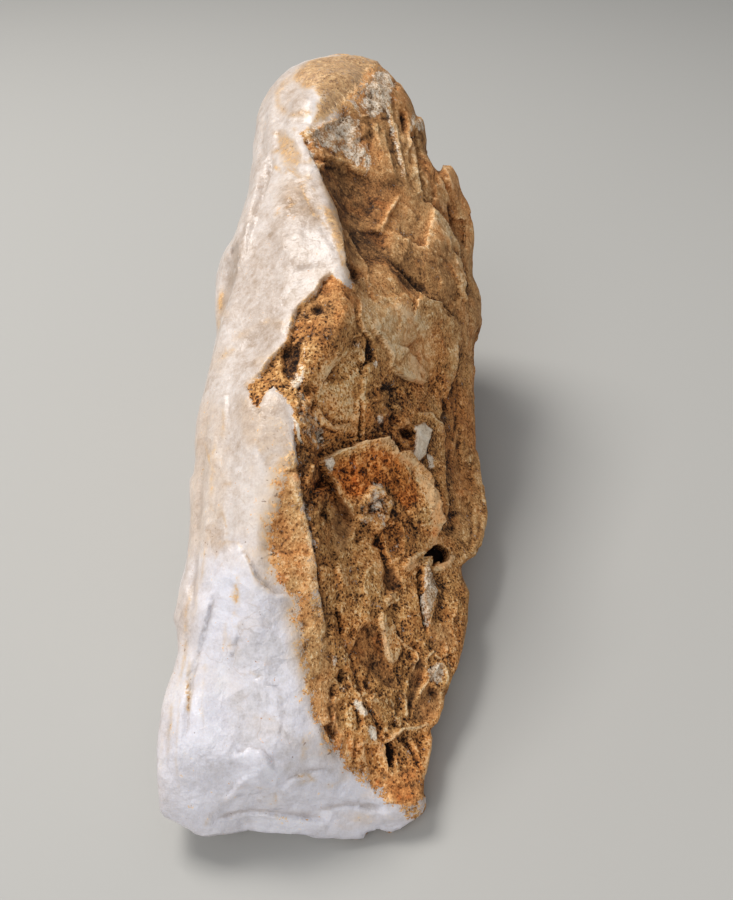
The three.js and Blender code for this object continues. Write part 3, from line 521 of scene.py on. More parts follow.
def draw_maps():
    # the dark map holds painted shade in the hollows, slits, pits and grooves of the crust, and the crust's own darker
    # spots
    R, crust, stain, dark, pale, rust, grey, white, cool = (Map() for _ in range(9))

    # ---- where the crust lies
    right = [(700, 822), (700, 60), (397, 60), (388, 64), (380, 70), (372, 84), (360, 96), (348, 108), (334, 118), (318, 126)]
    crust.patch(CREST_TOP + TONGUE[:] + TONGUE_B + CREASE[1:11] + [(322, 640), (322, 690), (336, 745), (362, 772), (381, 789), (389, 795), (398, 801), (409, 806), (418, 803), (424, 799)]
                + [(700, 799)] + right[1:], 1.0, 8.0, 3.0, mode='max')
    # the thin crust left of the crease dies out into the white
    strip = STAIN_EDGE + RUST_EDGE[1:] + [(424, 800), (400, 790), (372, 770), (345, 740), (330, 690), (331, 662)]
    crust.patch([(p[0] + 3, p[1]) for p in STAIN_EDGE + RUST_EDGE[1:6]] + RUST_EDGE[6:] + [(424, 800), (400, 790), (372, 770), (345, 740), (330, 690), (331, 662)] + CREASE[11:2:-1], 1.0, 30, 5, mode='max')
    stain.patch([(p[0] - 9, p[1] - 3) for p in STAIN_EDGE + RUST_EDGE[1:6]] + [(p[0] - 5, p[1] - 2) for p in RUST_EDGE[6:]] + [(424, 800), (372, 770), (345, 740), (331, 662)] + CREASE[11:2:-1], .8, 28, 6, mode='max')
    strip_map = Map()
    strip_map.patch(strip + CREASE[11:2:-1], 1.0, 6, 2, mode='max')
    # dome
    crust.patch([(334, 118), (330, 110), (344, 96), (356, 82), (366, 68), (378, 58), (398, 66), (410, 96), (390, 112), (360, 116)], .62, 12, 4, mode='max')
    stain.patch([(287, 78), (299, 66), (317, 52), (345, 50), (370, 52), (388, 60), (388, 80), (368, 92), (349, 102), (332, 116), (318, 127), (313, 122), (318, 110), (322, 99),
                 (314, 90), (299, 85)], 1.0, 14, 5, mode='max')
    stain.patch([(276, 131), (284, 131), (296, 140), (300, 158), (298, 178), (290, 172), (282, 162), (276, 148)], .72, 10, 4, mode='max')
    stain.ridge([(296, 76), (284, 84), (277, 94), (279, 106), (290, 116)], 4.5, .62, mode='max')
    for q in range(26):
        r5 = np.random.RandomState(500 + q)
        stain.blob(r5.uniform(276, 322), r5.uniform(128, 215), r5.uniform(1.5, 4), r5.uniform(2, 6), r5.uniform(0, 180), r5.uniform(.5, .9), mode='max')
    stain.patch([(286, 119), (290, 113), (303, 109), (314, 113), (306, 118), (296, 119)], .75, 6, 2, mode='max')
    stain.patch([(322, 204), (330, 205), (338, 216), (342, 230), (348, 246), (346, 262), (338, 248), (330, 232), (324, 215)], .85, 8, 3.5, mode='max')
    stain.patch([(312, 122), (322, 122), (312, 150), (304, 140)], .7, 8, 2, mode='max')
    stain.ridge([(283, 165), (299, 178), (305, 196), (311, 209), (330, 231), (337, 246), (342, 265)], 1.6, .8, False, mode='max')
    stain.ridge([(272, 320), (282, 326), (290, 330)], 6, .5, mode='max')
    stain.ridge(CREST_TOP[3:], 5.0, .8, mode='max')
    stain.ridge(TONGUE[1:], 4.5, .75, False, mode='max')
    for x, y, rx, ry, a, k in ((221, 303, 4, 14, 5, .95), (218, 322, 3, 10, 0, .7), (243, 335, 16, 5, -25, .55), (226, 314, 5, 4, 0, .6), (266, 322, 9, 4, -30, .6), (225, 355, 8, 5, -20, .6), (232, 350, 5, 3, 0, .6),
                               (250, 386, 5, 6, 0, .75), (258, 362, 8, 5, -40, .7), (236, 596, 5, 9, 0, .8), (235, 612, 3, 4, 0, .7), (238, 580, 2.5, 6, 0, .5), (189, 668, 2.5, 14, 4, .62), (190, 695, 2.2, 10, 0, .6),
                               (305, 782, 13, 3, -12, .6), (300, 760, 3, 12, 0, .3), (330, 786, 12, 4, -10, .42), (262, 448, 4, 12, -25, .5), (268, 460, 5, 6, 0, .5), (240, 352, 9, 3, 0, .3),
                               (219, 365, 6, 10, 0, .25), (223, 420, 3, 16, 0, .45), (229, 450, 4, 8, 20, .5), (212, 455, 2, 14, 0, .5), (226, 484, 8, 3, -20, .5), (217, 545, 9, 6, 10, .55), (228, 545, 5, 8, 0, .4),
                               (222, 510, 3, 18, -8, .4), (252, 550, 6, 14, -35, .45), (258, 582, 8, 6, 30, .5), (243, 533, 8, 14, 0, .3), (214, 505, 3, 24, 0, .3), (206, 545, 3, 16, 0, .3), (196, 600, 2.5, 14, 3, .45),
                               (252, 470, 8, 10, 0, .3), (262, 500, 7, 20, 0, .35), (250, 440, 12, 16, 0, .15), (284, 420, 6, 12, 0, .3), (276, 400, 6, 6, 0, .6),
                               (168, 720, 4, 26, 4, .25), (162, 750, 3, 30, 0, .3), (185, 760, 6, 20, 0, .15), (225, 800, 14, 5, -30, .25), (248, 680, 20, 9, 10, .12), (290, 740, 10, 22, 10, .14), (345, 812, 28, 7, -5, .2),
                               (250, 812, 26, 8, -12, .16), (388, 818, 18, 6, -20, .3), (264, 262, 10, 8, 0, .1), (300, 270, 14, 8, 20, .12), (280, 240, 12, 5, 30, .2), (262, 215, 8, 4, 40, .3),
                               (290, 350, 10, 8, 0, .0), (300, 690, 6, 14, 10, .45), (322, 752, 6, 9, -30, .45), (345, 778, 8, 5, -30, .5), (366, 795, 10, 5, -25, .5), (240, 625, 8, 3, -20, .4),
                               (268, 92, 8, 12, 20, .3), (262, 125, 4, 14, 0, .25), (285, 200, 6, 12, 0, .18), (320, 250, 8, 16, -10, .15), (290, 300, 14, 6, -30, .16)):
        stain.blob(x, y, rx, ry, a, k, mode='max')
    for pts, w, k in (([(195, 577), (186, 610), (185, 656), (178, 690)], 2.6, .62), ([(200, 560), (196, 600), (192, 640)], 2.0, .45), ([(225, 616), (224, 650)], 2.2, .5), ([(232, 622), (229, 652)], 2.0, .4),
                      ([(188, 668), (188, 714)], 2.0, .85), ([(304, 734), (303, 762)], 3.0, .6), ([(295, 777), (308, 775), (318, 781)], 2.2, .8), ([(203, 829), (216, 806)], 2.2, .55),
                      ([(172, 700), (168, 760)], 2.4, .5), ([(180, 690), (176, 760), (180, 800)], 2.0, .4), ([(210, 520), (204, 560), (200, 590)], 2.4, .5), ([(239, 673), (252, 674), (264, 678)], 1.4, .5),
                      ([(272, 690), (284, 700), (296, 702)], 1.4, .5), ([(250, 720), (262, 716), (278, 722)], 1.3, .4), ([(236, 700), (240, 724)], 1.4, .35), ([(216, 430), (212, 480), (210, 520)], 2.4, .5),
                      ([(262, 640), (266, 668)], 1.4, .35), ([(206, 650), (202, 700), (204, 740)], 1.6, .4), ([(275, 792), (277, 820)], 1.8, .45), ([(230, 790), (250, 786), (268, 790)], 1.5, .4)):
        stain.ridge(pts, w, k, mode='max')
    for x, y, rx, ry, k in ((236, 588, 2.5, 6, 1.0), (237, 602, 3, 6, 1.0), (362, 818, 20, 9, .55), (345, 826, 12, 6, .4), (310, 745, 4, 8, .5), (188, 690, 2.4, 6, .9), (188, 708, 2.4, 6, .9)):
        stain.blob(x, y, rx, ry, 0, k, mode='max')
    for poly, k in (([(283, 182), (300, 180), (318, 204), (326, 228), (310, 230), (290, 214)], .36), ([(238, 394), (262, 388), (286, 402), (292, 442), (270, 452), (238, 444)], .38),
                    ([(176, 590), (200, 590), (206, 690), (176, 700)], .24), ([(192, 396), (226, 402), (228, 440), (232, 480), (222, 520), (228, 542), (206, 560), (184, 562), (186, 500), (192, 440)], .30),
                    ([(248, 552), (266, 540), (286, 560), (290, 590), (270, 594), (256, 580)], .46)):
        stain.patch(poly, k, 14, 4, mode='max')
    rust.patch([(268, 518), (286, 512), (292, 540), (290, 584), (276, 592), (264, 574), (260, 556), (268, 540)], .3, 10, 3, mode='max')
    for pts, w, k in (([(205, 440), (208, 455), (212, 467)], 2.2, .66), ([(223, 408), (224, 430), (222, 442)], 2.0, .6), ([(221, 508), (226, 524), (228, 538)], 1.2, .62),
                      ([(208, 548), (218, 546), (228, 541), (238, 543), (244, 552), (250, 562), (252, 572), (258, 582), (270, 590), (281, 592)], 1.5, .64), ([(256, 436), (260, 446), (262, 456)], 1.4, .6),
                      ([(210, 554), (222, 556)], 1.4, .55), ([(226, 484), (232, 486)], 1.4, .7)):
        stain.ridge(pts, w, k, mode='max')
    rust.patch([(333, 462), (345, 455), (372, 446), (390, 452), (402, 462), (414, 478), (418, 498), (406, 512), (396, 500), (388, 488),
                (372, 486), (352, 500), (342, 492), (334, 478)], 1.0, 12, 3, mode='max')
    rust.patch([(378, 774), (398, 768), (420, 776), (424, 800), (412, 814), (396, 804), (380, 792), (368, 782)], .5, 12, 3, mode='max')
    rust.patch([(402, 454), (412, 462), (422, 476), (432, 492), (440, 512), (441, 530), (436, 544), (430, 540), (430, 510), (424, 494), (416, 480), (408, 468), (400, 460)], .62, 5, 2, mode='max')
    for x, y, rx, ry, a, k in ((316, 486, 10, 16, -20, .75), (286, 565, 9, 22, -10, .55), (282, 585, 8, 8, 0, .6), (413, 540, 14, 20, -30, .45), (350, 668, 10, 16, -30, .55),
                               (366, 660, 16, 26, -20, .25), (330, 640, 9, 16, 0, .3), (424, 750, 9, 20, -20, .4), (300, 600, 6, 22, 0, .3), (392, 470, 22, 12, 20, .4)):
        rust.blob(x, y, rx, ry, a, k, mode='max')

    # ---- pale quartz inside the crust
    white.patch([(414, 427), (424, 422), (433, 430), (428, 442), (425, 454), (418, 462), (413, 452), (415, 440)], 1, 3, 1.3, mode='max')
    white.patch([(427, 452), (433, 456), (434, 468), (429, 470)], .8, 3, 1, mode='max')
    white.patch([(322, 459), (332, 456), (336, 462), (331, 473), (325, 469)], .85, 3, 1, mode='max')
    white.ridge([(384, 98), (388, 113), (391, 127), (396, 142), (399, 155), (403, 170), (406, 188)], 2.7, .66, mode='max')
    white.blob(389, 98, 3.5, 8, -15, .8, mode='max')
    white.ridge([(307, 340), (304, 350), (303, 360)], 1.5, .62, mode='max')
    white.patch([(300, 362), (305, 362), (306, 374), (303, 386), (297, 392), (290, 388), (292, 376)], .62, 5, 2.5, mode='max')
    white.patch([(353, 700), (360, 701), (368, 714), (363, 717), (356, 710)], .95, 3, 1, mode='max')
    white.patch([(369, 724), (375, 726), (378, 738), (373, 742), (368, 734)], .8, 3, 1, mode='max')
    white.patch([(331, 656), (337, 653), (339, 664), (333, 667)], .6, 3, 1, mode='max')
    white.blob(380, 420, 5, 6, 0, .7, mode='max')
    white.blob(375, 363, 5, 3.5, 20, .6, mode='max')
    white.patch([(409, 132), (411, 113), (415, 122), (414, 134)], .55, 3, .8, mode='max')
    white.patch([(416, 130), (418, 113), (425, 117), (426, 128), (420, 133)], .6, 3, .8, mode='max')
    white.ridge([(366, 78), (368, 96), (368, 114)], 1.6, .6, mode='max')
    white.ridge([(374, 84), (377, 98), (378, 108)], 1.6, .6, mode='max')
    white.ridge([(382, 92), (384, 104)], 1.8, .7, mode='max')
    white.blob(357, 345, 6.5, 5.5, 0, .5, mode='max')
    white.blob(364, 768, 4, 12, 10, .4, mode='max')
    white.ridge([(268, 392), (274, 388), (280, 396), (287, 406)], 2.2, .8, mode='max')
    white.ridge([(291, 414), (296, 422), (299, 434), (303, 446)], 1.7, .95, mode='max')
    for x, y, rx, ry, k in ((321, 431, 4, 4, .75), (303, 399, 4, 3, .7), (380, 417, 4, 7, .8), (304, 315, 4, 3.5, .7), (342, 690, 4, 5, .65), (376, 363, 4.5, 3, .8), (315, 414, 3, 3, .5), (330, 440, 3, 3, .5), (407, 606, 2.5, 2.5, .6), (409, 616, 3, 3, .7), (404, 612, 2, 2, .5)):
        white.blob(x, y, rx, ry, 0, k, mode='max')
    grey.patch([(306, 132), (316, 124), (330, 118), (345, 112), (360, 116), (362, 130), (366, 145), (372, 155), (374, 166), (368, 174), (358, 167), (350, 160), (340, 155), (328, 150), (318, 148), (308, 140)],
               .85, 13, 4, mode='max')
    grey.patch([(303, 142), (312, 152), (322, 172), (328, 190), (320, 192), (310, 186), (304, 168)], .75, 7, 3, mode='max')
    for x, y, rx, ry, k in ((345, 111, 4, 5, .9), (342, 136, 6, 4, .95), (347, 119, 4, 3, .9), (366, 132, 3, 12, .6), (282, 134, 4, 4, .6), (290, 166, 3, 4, .7), (393, 146, 2, 12, .6), (376, 112, 3, 10, .6), (384, 116, 2, 10, .5),
                            (404, 118, 3, 14, .95), (394, 90, 3, 9, .6), (449, 208, 3, 8, .9), (436, 174, 4, 6, .7), (371, 82, 2, 9, .5), (380, 84, 2, 9, .5), (348, 268, 3, 9, .8), (354, 275, 4, 4, .95), (345, 214, 5, 10, .6)):
        dark.blob(x, y, rx, ry, 0, k, mode='max')
    grey.patch([(362, 104), (366, 88), (374, 74), (386, 72), (396, 84), (392, 100), (384, 112), (374, 118), (364, 116)], .95, 10, 4, mode='max')
    for pts in ([(366, 80), (370, 98), (372, 118)], [(374, 72), (378, 90), (380, 112)], [(382, 70), (386, 88)], [(352, 100), (360, 112)], [(424, 120), (421, 132)], [(414, 112), (412, 126)]):
        grey.ridge(pts, 2.6, 1.0, mode='max')
    grey.blob(418, 124, 4, 6, 0, .9, mode='max')
    grey.patch([(425, 562), (431, 568), (436, 580), (437, 592), (433, 606), (430, 616), (427, 628), (423, 612), (422, 596), (424, 580)], 1.0, 3, 1.2, mode='max')
    grey.patch([(428, 668), (438, 664), (444, 672), (442, 682), (434, 684), (427, 678)], .9, 4, 1.2, mode='max')
    grey.patch([(358, 504), (364, 498), (370, 486), (380, 486), (388, 494), (394, 503), (390, 516), (384, 530), (378, 534), (372, 524), (366, 528), (358, 522)], .5, 6, 2, mode='max')
    grey.blob(378, 486, 7, 4, 0, .8, mode='max')
    grey.patch([(292, 388), (304, 392), (320, 420), (330, 448), (312, 450), (302, 430), (296, 410)], .55, 7, 2.5, mode='max')
    grey.blob(440, 672, 10, 14, 0, .5, mode='max')
    grey.blob(398, 545, 12, 12, 0, .35, mode='max')

    # ---- shaded and dark parts of the crust
    for poly, k, f in (([(346, 262), (360, 262), (366, 285), (352, 292)], .45, 6),
                       ([(298, 440), (316, 450), (322, 470), (334, 490), (330, 510), (318, 520), (306, 500), (300, 470)], .6, 8),
                       ([(366, 384), (380, 380), (400, 386), (408, 404), (400, 440), (384, 436), (366, 434)], .5, 8),
                       ([(332, 275), (345, 276), (350, 300), (340, 345), (318, 352), (306, 330), (318, 300)], .4, 12),
                       ([(372, 474), (400, 470), (416, 500), (420, 540), (400, 540), (392, 510), (382, 490)], .4, 8),
                       ([(384, 452), (396, 456), (410, 480), (414, 500), (400, 500), (388, 480)], .35, 6),
                       ([(298, 464), (316, 470), (326, 490), (326, 512), (318, 540), (312, 530), (302, 496)], .35, 9),
                       ([(442, 395), (456, 384), (470, 400), (472, 450), (478, 500), (466, 545), (452, 550), (446, 504), (444, 440)], .3, 12),
                       ([(400, 110), (406, 112), (408, 130), (402, 134)], .8, 4),
                       ([(423, 556), (426, 551), (430, 547), (434, 545), (440, 546), (443, 551), (446, 558), (444, 563), (439, 565), (435, 563), (433, 566), (430, 562), (427, 557)], 1.0, 2.5)):
        dark.patch(poly, k, f, 2.2, mode='max')

    # ---- main edges: the white slab stands a little above the crust
    R.scarp(CREST_TOP, .8, 14, low=1.0, lowL=10)
    R.scarp(TONGUE, .5, 16, low=2.2, lowL=12)
    R.scarp(TONGUE_B, .35, 10, low=2.0, lowL=8)
    R.scarp(CREASE, .4, 12, low=2.0, lowL=10)
    R.scarp(RUST_EDGE, .2, 10, low=.5, lowL=8)
    R.scarp(BAND, .5, 14, low=3.2, lowL=24)
    R.scarp(UNDER[::-1], .35, 16, low=.35, lowL=14)
    # the raised arched plate, with a painted highlight along its rim, partly the rim's own paler colour
    R.scarp(LIP, 3.0, 26, low=.35, lowL=9)
    R.ridge([(p[0] - 1, p[1] + 2.4) for p in LIP], 2.4, .55)
    R.scarp([(356, 524), (346, 506), (338, 496), (334, 488), (326, 474), (321, 461)], 1.8, 12, low=.7, lowL=10)
    pale.ridge([(p[0] - .5, p[1] + 1.6) for p in LIP[:9]], 2.4, .85, False, mode='max')
    pale.ridge([(p[0] - 1.2, p[1] + .6) for p in LIP[8:]], 1.6, .6, False, mode='max')

    # ---- broken edges (high side on the right of travel), each with a painted highlight line along it, partly the edge's own paler colour
    def cut(pts, h, L, lo, lL, line=0.55):
        R.scarp(pts, h, L, low=lo, edge=.9, lowL=lL)
        if line:
            R.ridge([(q[0] + .5, q[1] + .9) for q in pts], 1.5, .22 + .12 * h)
            pale.ridge([(q[0] + .4, q[1] + .7) for q in pts], 1.5, line, True, mode='max')

    # a raised rim with a painted highlight line along it, partly the rim's own paler colour
    def rim(pts, w=1.5, h=.55, line=.75):
        R.ridge(pts, w * .7, h * .62)
        if line:
            pale.ridge(pts, w * .95, min(1.15 * line, 1.0), True, mode='max')

    # a groove in the relief, with painted shade along it
    def slit(pts, w, h, k=.7):
        R.ridge(pts, w, h)
        if k:
            dark.ridge(pts, w * .95, k, True, mode='max')

    # a hollow in the relief, with painted shade in it
    def hollow(poly, h, f, k=0.0):
        R.patch(poly, -h * .75, f, 1.4)
        if k:
            dark.patch(poly, min(k * .9, 1), f, 2, mode='max')

    # top: ridges with a painted highlight line along them, partly their own paler colour
    for pts, w, h, ln in (([(405, 186), (412, 196), (420, 192), (432, 205), (445, 225), (452, 245)], 1.3, .35, .6), ([(402, 192), (396, 200), (390, 211), (384, 222), (380, 231), (372, 236)], 1.2, .3, .7),
                          ([(412, 140), (418, 160), (424, 178), (430, 190)], 1.6, .5, .6), ([(376, 122), (379, 140), (384, 158)], 1.4, .3, .5), ([(428, 196), (438, 200), (446, 214)], 1.5, .4, .7),
                          ([(458, 250), (462, 268), (464, 290)], 1.6, .5, .8), ([(416, 226), (408, 240), (404, 256)], 1.6, .3, .5), ([(404, 208), (414, 214), (418, 226)], 1.4, .3, .5),
                          ([(424, 246), (436, 240), (448, 244)], 1.6, .3, .6), ([(440, 164), (446, 170), (452, 186)], 1.5, .5, .8), ([(452, 164), (457, 172), (459, 190)], 1.5, .4, .8)):
        R.ridge(pts, w, h)
        pale.ridge(pts, w, ln, mode='max')
    cut([(422, 201), (430, 204), (440, 217), (450, 231), (458, 247), (462, 265), (464, 285), (468, 305)], .9, 16, 1.6, 14, .3)
    cut([(408, 129), (414, 150), (418, 170), (420, 188), (424, 204)], .8, 9, 1.5, 8)
    cut([(428, 150), (436, 170), (444, 186), (450, 204), (454, 222)], .8, 9, 1.5, 8)
    cut([(402, 196), (396, 204), (390, 214), (383, 231), (372, 231), (366, 224)], .7, 12, .5, 9, .3)
    cut([(340, 222), (350, 238), (358, 254), (368, 268), (369, 288)], .5, 8, 1.0, 5)
    cut([(388, 259), (402, 277), (416, 292), (428, 300), (440, 303), (452, 316), (466, 326)], 1.2, 18, .7, 8)
    cut([(362, 300), (362, 318), (366, 330), (374, 338)], .5, 7, 1.0, 4)
    cut([(346, 118), (332, 124), (318, 131), (306, 140)], .7, 9, .6, 6)
    cut([(374, 170), (362, 174), (350, 166), (334, 159), (320, 158)], .9, 11, .7, 6)
    cut([(384, 122), (386, 142), (392, 164), (398, 180)], .5, 7, .6, 5)
    cut([(427, 376), (424, 383), (406, 378), (392, 370)], 1.5, 16, .5, 6, .8)
    cut([(396, 346), (406, 348), (418, 362), (427, 376)], .8, 12, .6, 6)
    cut([(392, 368), (391, 350), (378, 334), (371, 322)], .9, 11, .7, 6)
    # diagonal slab
    cut([(361, 350), (341, 358), (330, 370), (322, 384), (317, 402)], .8, 12, .5, 6)
    cut([(354, 423), (357, 402), (363, 389), (364, 378), (361, 350)], .8, 10, .9, 6)
    cut([(317, 402), (322, 416), (333, 426), (354, 423)], 1.1, 10, .7, 6)
    cut([(458, 338), (456, 366), (450, 386), (442, 404), (440, 425)], 1.0, 14, 1.3, 9, .35)
    cut([(416, 411), (431, 413), (442, 425), (445, 437), (442, 447)], .8, 7, .8, 5, .8)
    cut([(346, 440), (362, 436), (380, 432), (394, 440)], .6, 8, .6, 4, .4)
    cut([(444, 447), (446, 475), (448, 505), (446, 535)], .7, 12, 1.0, 8, .3)
    cut([(460, 560), (470, 552), (479, 538), (486, 512), (484, 498), (476, 482)], .6, 8, .4, 6, .3)
    # middle
    cut([(313, 500), (318, 488), (328, 484), (334, 492), (332, 503)], .9, 6, .8, 4, .3)
    cut([(357, 500), (352, 512), (356, 528), (352, 540), (340, 544), (334, 534)], .5, 6, .9, 6, .3)
    cut([(383, 528), (392, 520), (402, 522), (406, 540), (404, 556), (396, 562)], .5, 6, .9, 6, .3)
    cut([(404, 586), (398, 578), (389, 566), (380, 551), (376, 536)], .8, 7, .7, 3, .35)
    cut([(330, 560), (346, 568), (360, 562), (372, 552)], .3, 8, .2, 4, .2)
    # lower boxwork: raised cells with painted highlight on them, partly their own paler colour
    for poly, h in (([(407, 558), (414, 555), (422, 551), (423, 554), (417, 559), (413, 564), (406, 566)], .8),
                    ([(402, 567), (408, 563), (416, 563), (420, 559), (421, 566), (414, 570), (408, 572), (403, 571)], .6),
                    ([(432, 568), (440, 565), (446, 560), (450, 556), (457, 554), (455, 560), (450, 565), (444, 570), (436, 572)], .8),
                    ([(424, 558), (429, 564), (434, 574), (430, 576), (424, 568)], .5), ([(386, 596), (393, 592), (396, 595), (391, 601), (385, 604)], .4)):
        R.patch(poly, h, 1.6, 1.6)
        pale.patch(poly, .7, 2.4, 2.0, mode='max')
    cut([(392, 668), (388, 658), (385, 646), (382, 632), (380, 618), (382, 608)], 1.0, 7, .5, 3, .9)
    R.patch([(381, 610), (388, 612), (392, 622), (396, 634), (401, 643), (402, 650), (398, 658), (392, 664), (388, 660), (385, 648), (382, 632)], .5, 3, 1)
    rim([(390, 612), (393, 624), (397, 636), (403, 644), (410, 648), (415, 652), (417, 659), (414, 668), (410, 676)], 1.3, 1.0, .95)
    rim([(383, 609), (390, 603), (398, 600), (404, 594), (405, 586)], 1.3, 1.0, .95)
    rim([(382, 608), (374, 604), (368, 598), (364, 588)], 1.1, .5, .6)
    cut([(376, 621), (368, 622), (360, 628), (355, 638), (350, 650)], .8, 7, .4, 4, .6)
    rim([(350, 652), (356, 664), (364, 674), (374, 682), (386, 687), (396, 692)], 1.1, .4, .3)
    R.blob(408, 612, 10, 14, 0, .9)
    rim([(430, 626), (438, 624), (448, 626)], 1.0, .3, .4)
    rim([(452, 630), (456, 640), (458, 648)], 1.2, .6, .7)
    rim([(426, 662), (429, 655), (433, 652), (437, 656), (441, 659), (446, 655), (452, 653)], 1.3, 1.1, 1.0)
    rim([(426, 662), (425, 670), (427, 677)], 1.1, .7, .7)
    rim([(441, 660), (437, 668), (431, 675), (426, 682), (421, 690), (417, 700)], 1.6, 1.1, 1.0)
    rim([(441, 660), (446, 668), (449, 678), (445, 688)], 1.3, .9, .9)
    rim([(404, 690), (405, 700), (405, 712), (408, 722)], 1.1, .9, .95)
    rim([(384, 750), (386, 743), (392, 738), (398, 733), (404, 729), (412, 728), (420, 727), (427, 724), (432, 729)], 1.8, 1.6, 1.0)
    rim([(406, 736), (412, 743), (417, 752), (422, 764)], 1.2, .8, .85)
    rim([(399, 741), (404, 750), (409, 762), (414, 772)], 1.1, .6, .6)
    rim([(432, 730), (432, 742), (429, 756), (426, 770), (423, 782)], 1.6, .9, .9)
    rim([(343, 668), (347, 678), (353, 688), (359, 697), (366, 705), (371, 714), (375, 722), (379, 734)], 1.5, 1.0, .7)
    rim([(348, 652), (345, 660), (343, 668)], 1.2, .8, .85)
    rim([(336, 690), (334, 704), (334, 722), (332, 738)], 1.2, .6, .7)
    rim([(346, 700), (347, 716), (350, 732), (352, 750)], 1.1, .5, .5)
    rim([(364, 744), (362, 756), (366, 770)], 1.3, .7, .9)
    rim([(380, 748), (384, 760), (388, 774)], 1.3, .7, .7)
    rim([(394, 708), (396, 718), (400, 728)], 1.2, .7, .8)
    rim([(384, 698), (391, 701), (394, 708)], 1.2, .7, .8)
    rim([(446, 590), (449, 610), (447, 632)], 1.2, .4, .4)
    cut([(460, 600), (455, 616), (452, 630)], .6, 6, .4, 4, .4)
    cut([(376, 560), (364, 572), (362, 586), (367, 600)][::-1], .5, 8, .6, 6, .3)
    rim([(385, 94), (388, 103), (391, 113), (396, 131), (400, 149), (403, 165), (407, 187)], 2.2, 1.0, .6)
    rim([(372, 66), (378, 84), (384, 104)], 2, .5, .5)
    rim([(380, 64), (389, 82), (396, 100)], 2, .5, .5)
    rim([(362, 84), (368, 100), (370, 118)], 2, .45, .4)
    rim([(424, 118), (426, 134), (430, 150)], 2, .8, .6)
    rim([(415, 118), (418, 140), (424, 160)], 2, .6, .5)
    rim([(404, 240), (420, 236), (436, 240)], 3, .3, .2)
    rim([(420, 262), (440, 276), (452, 296)], 3, .4, .3)
    rim([(396, 300), (410, 318), (428, 330)], 4, .4, .3)
    rim([(376, 320), (390, 330), (400, 345)], 3, .3, .3)
    rim([(307, 338), (303, 352), (304, 366), (299, 380), (291, 389)], 2.0, .2, .2)
    rim([(466, 300), (474, 320), (476, 350), (470, 380)], 3, .4, .3)
    rim([(470, 400), (474, 430), (476, 460)], 3, .4, .3)

    # hollows of the crust; the dark patches laid in them are painted shade
    hollow([(352, 650), (358, 636), (364, 624), (374, 622), (381, 634), (384, 648), (388, 662), (392, 674), (398, 690), (388, 688), (376, 678), (362, 664)], 1.2, 5, .5)
    dark.patch([(370, 652), (382, 650), (386, 664), (392, 680), (380, 682), (370, 672)], .6, 8, 2, mode='max')
    hollow([(402, 650), (412, 654), (414, 662), (408, 676), (402, 690), (396, 680), (392, 668), (398, 660)], 1.0, 5, .5)
    hollow([(420, 692), (432, 686), (444, 690), (442, 704), (438, 716), (428, 722), (414, 720), (415, 706)], .7, 4, .1)
    hollow([(409, 672), (420, 656), (425, 666), (423, 680), (414, 700), (411, 716), (408, 706)], 1.0, 4, .5)
    hollow([(384, 566), (392, 567), (398, 576), (400, 586), (394, 591), (386, 590), (382, 579)], 1.3, 5, .8)
    hollow([(430, 572), (444, 574), (447, 592), (446, 616), (440, 624), (432, 622), (434, 612), (438, 600), (437, 586)], .7, 7, .1)
    hollow([(396, 741), (404, 752), (410, 764), (412, 772), (400, 772), (394, 756)], .7, 5, .3)
    hollow([(420, 734), (430, 736), (428, 750), (424, 762), (420, 752), (414, 740)], .6, 5, .0)
    hollow([(338, 702), (345, 704), (349, 726), (351, 750), (344, 752), (337, 738)], .6, 5, .0)
    hollow([(364, 746), (376, 746), (382, 768), (372, 772), (366, 760)], .6, 5, .2)
    hollow([(334, 500), (346, 502), (354, 516), (352, 534), (342, 542), (334, 530)], 1.0, 8, .5)
    hollow([(384, 530), (396, 524), (404, 534), (404, 552), (394, 560), (386, 550)], .9, 7, .35)
    hollow([(346, 224), (372, 224), (386, 240), (390, 262), (366, 266), (346, 262)], .8, 14, .6)
    hollow([(326, 168), (350, 172), (374, 178), (396, 180), (400, 192), (390, 210), (382, 228), (360, 226), (344, 216), (334, 196)], .8, 16, .35)
    hollow([(386, 258), (398, 264), (420, 288), (424, 298), (406, 290), (392, 274)], .7, 7, .6)
    hollow([(284, 348), (300, 342), (299, 360), (292, 384), (282, 374)], .9, 7, .7)

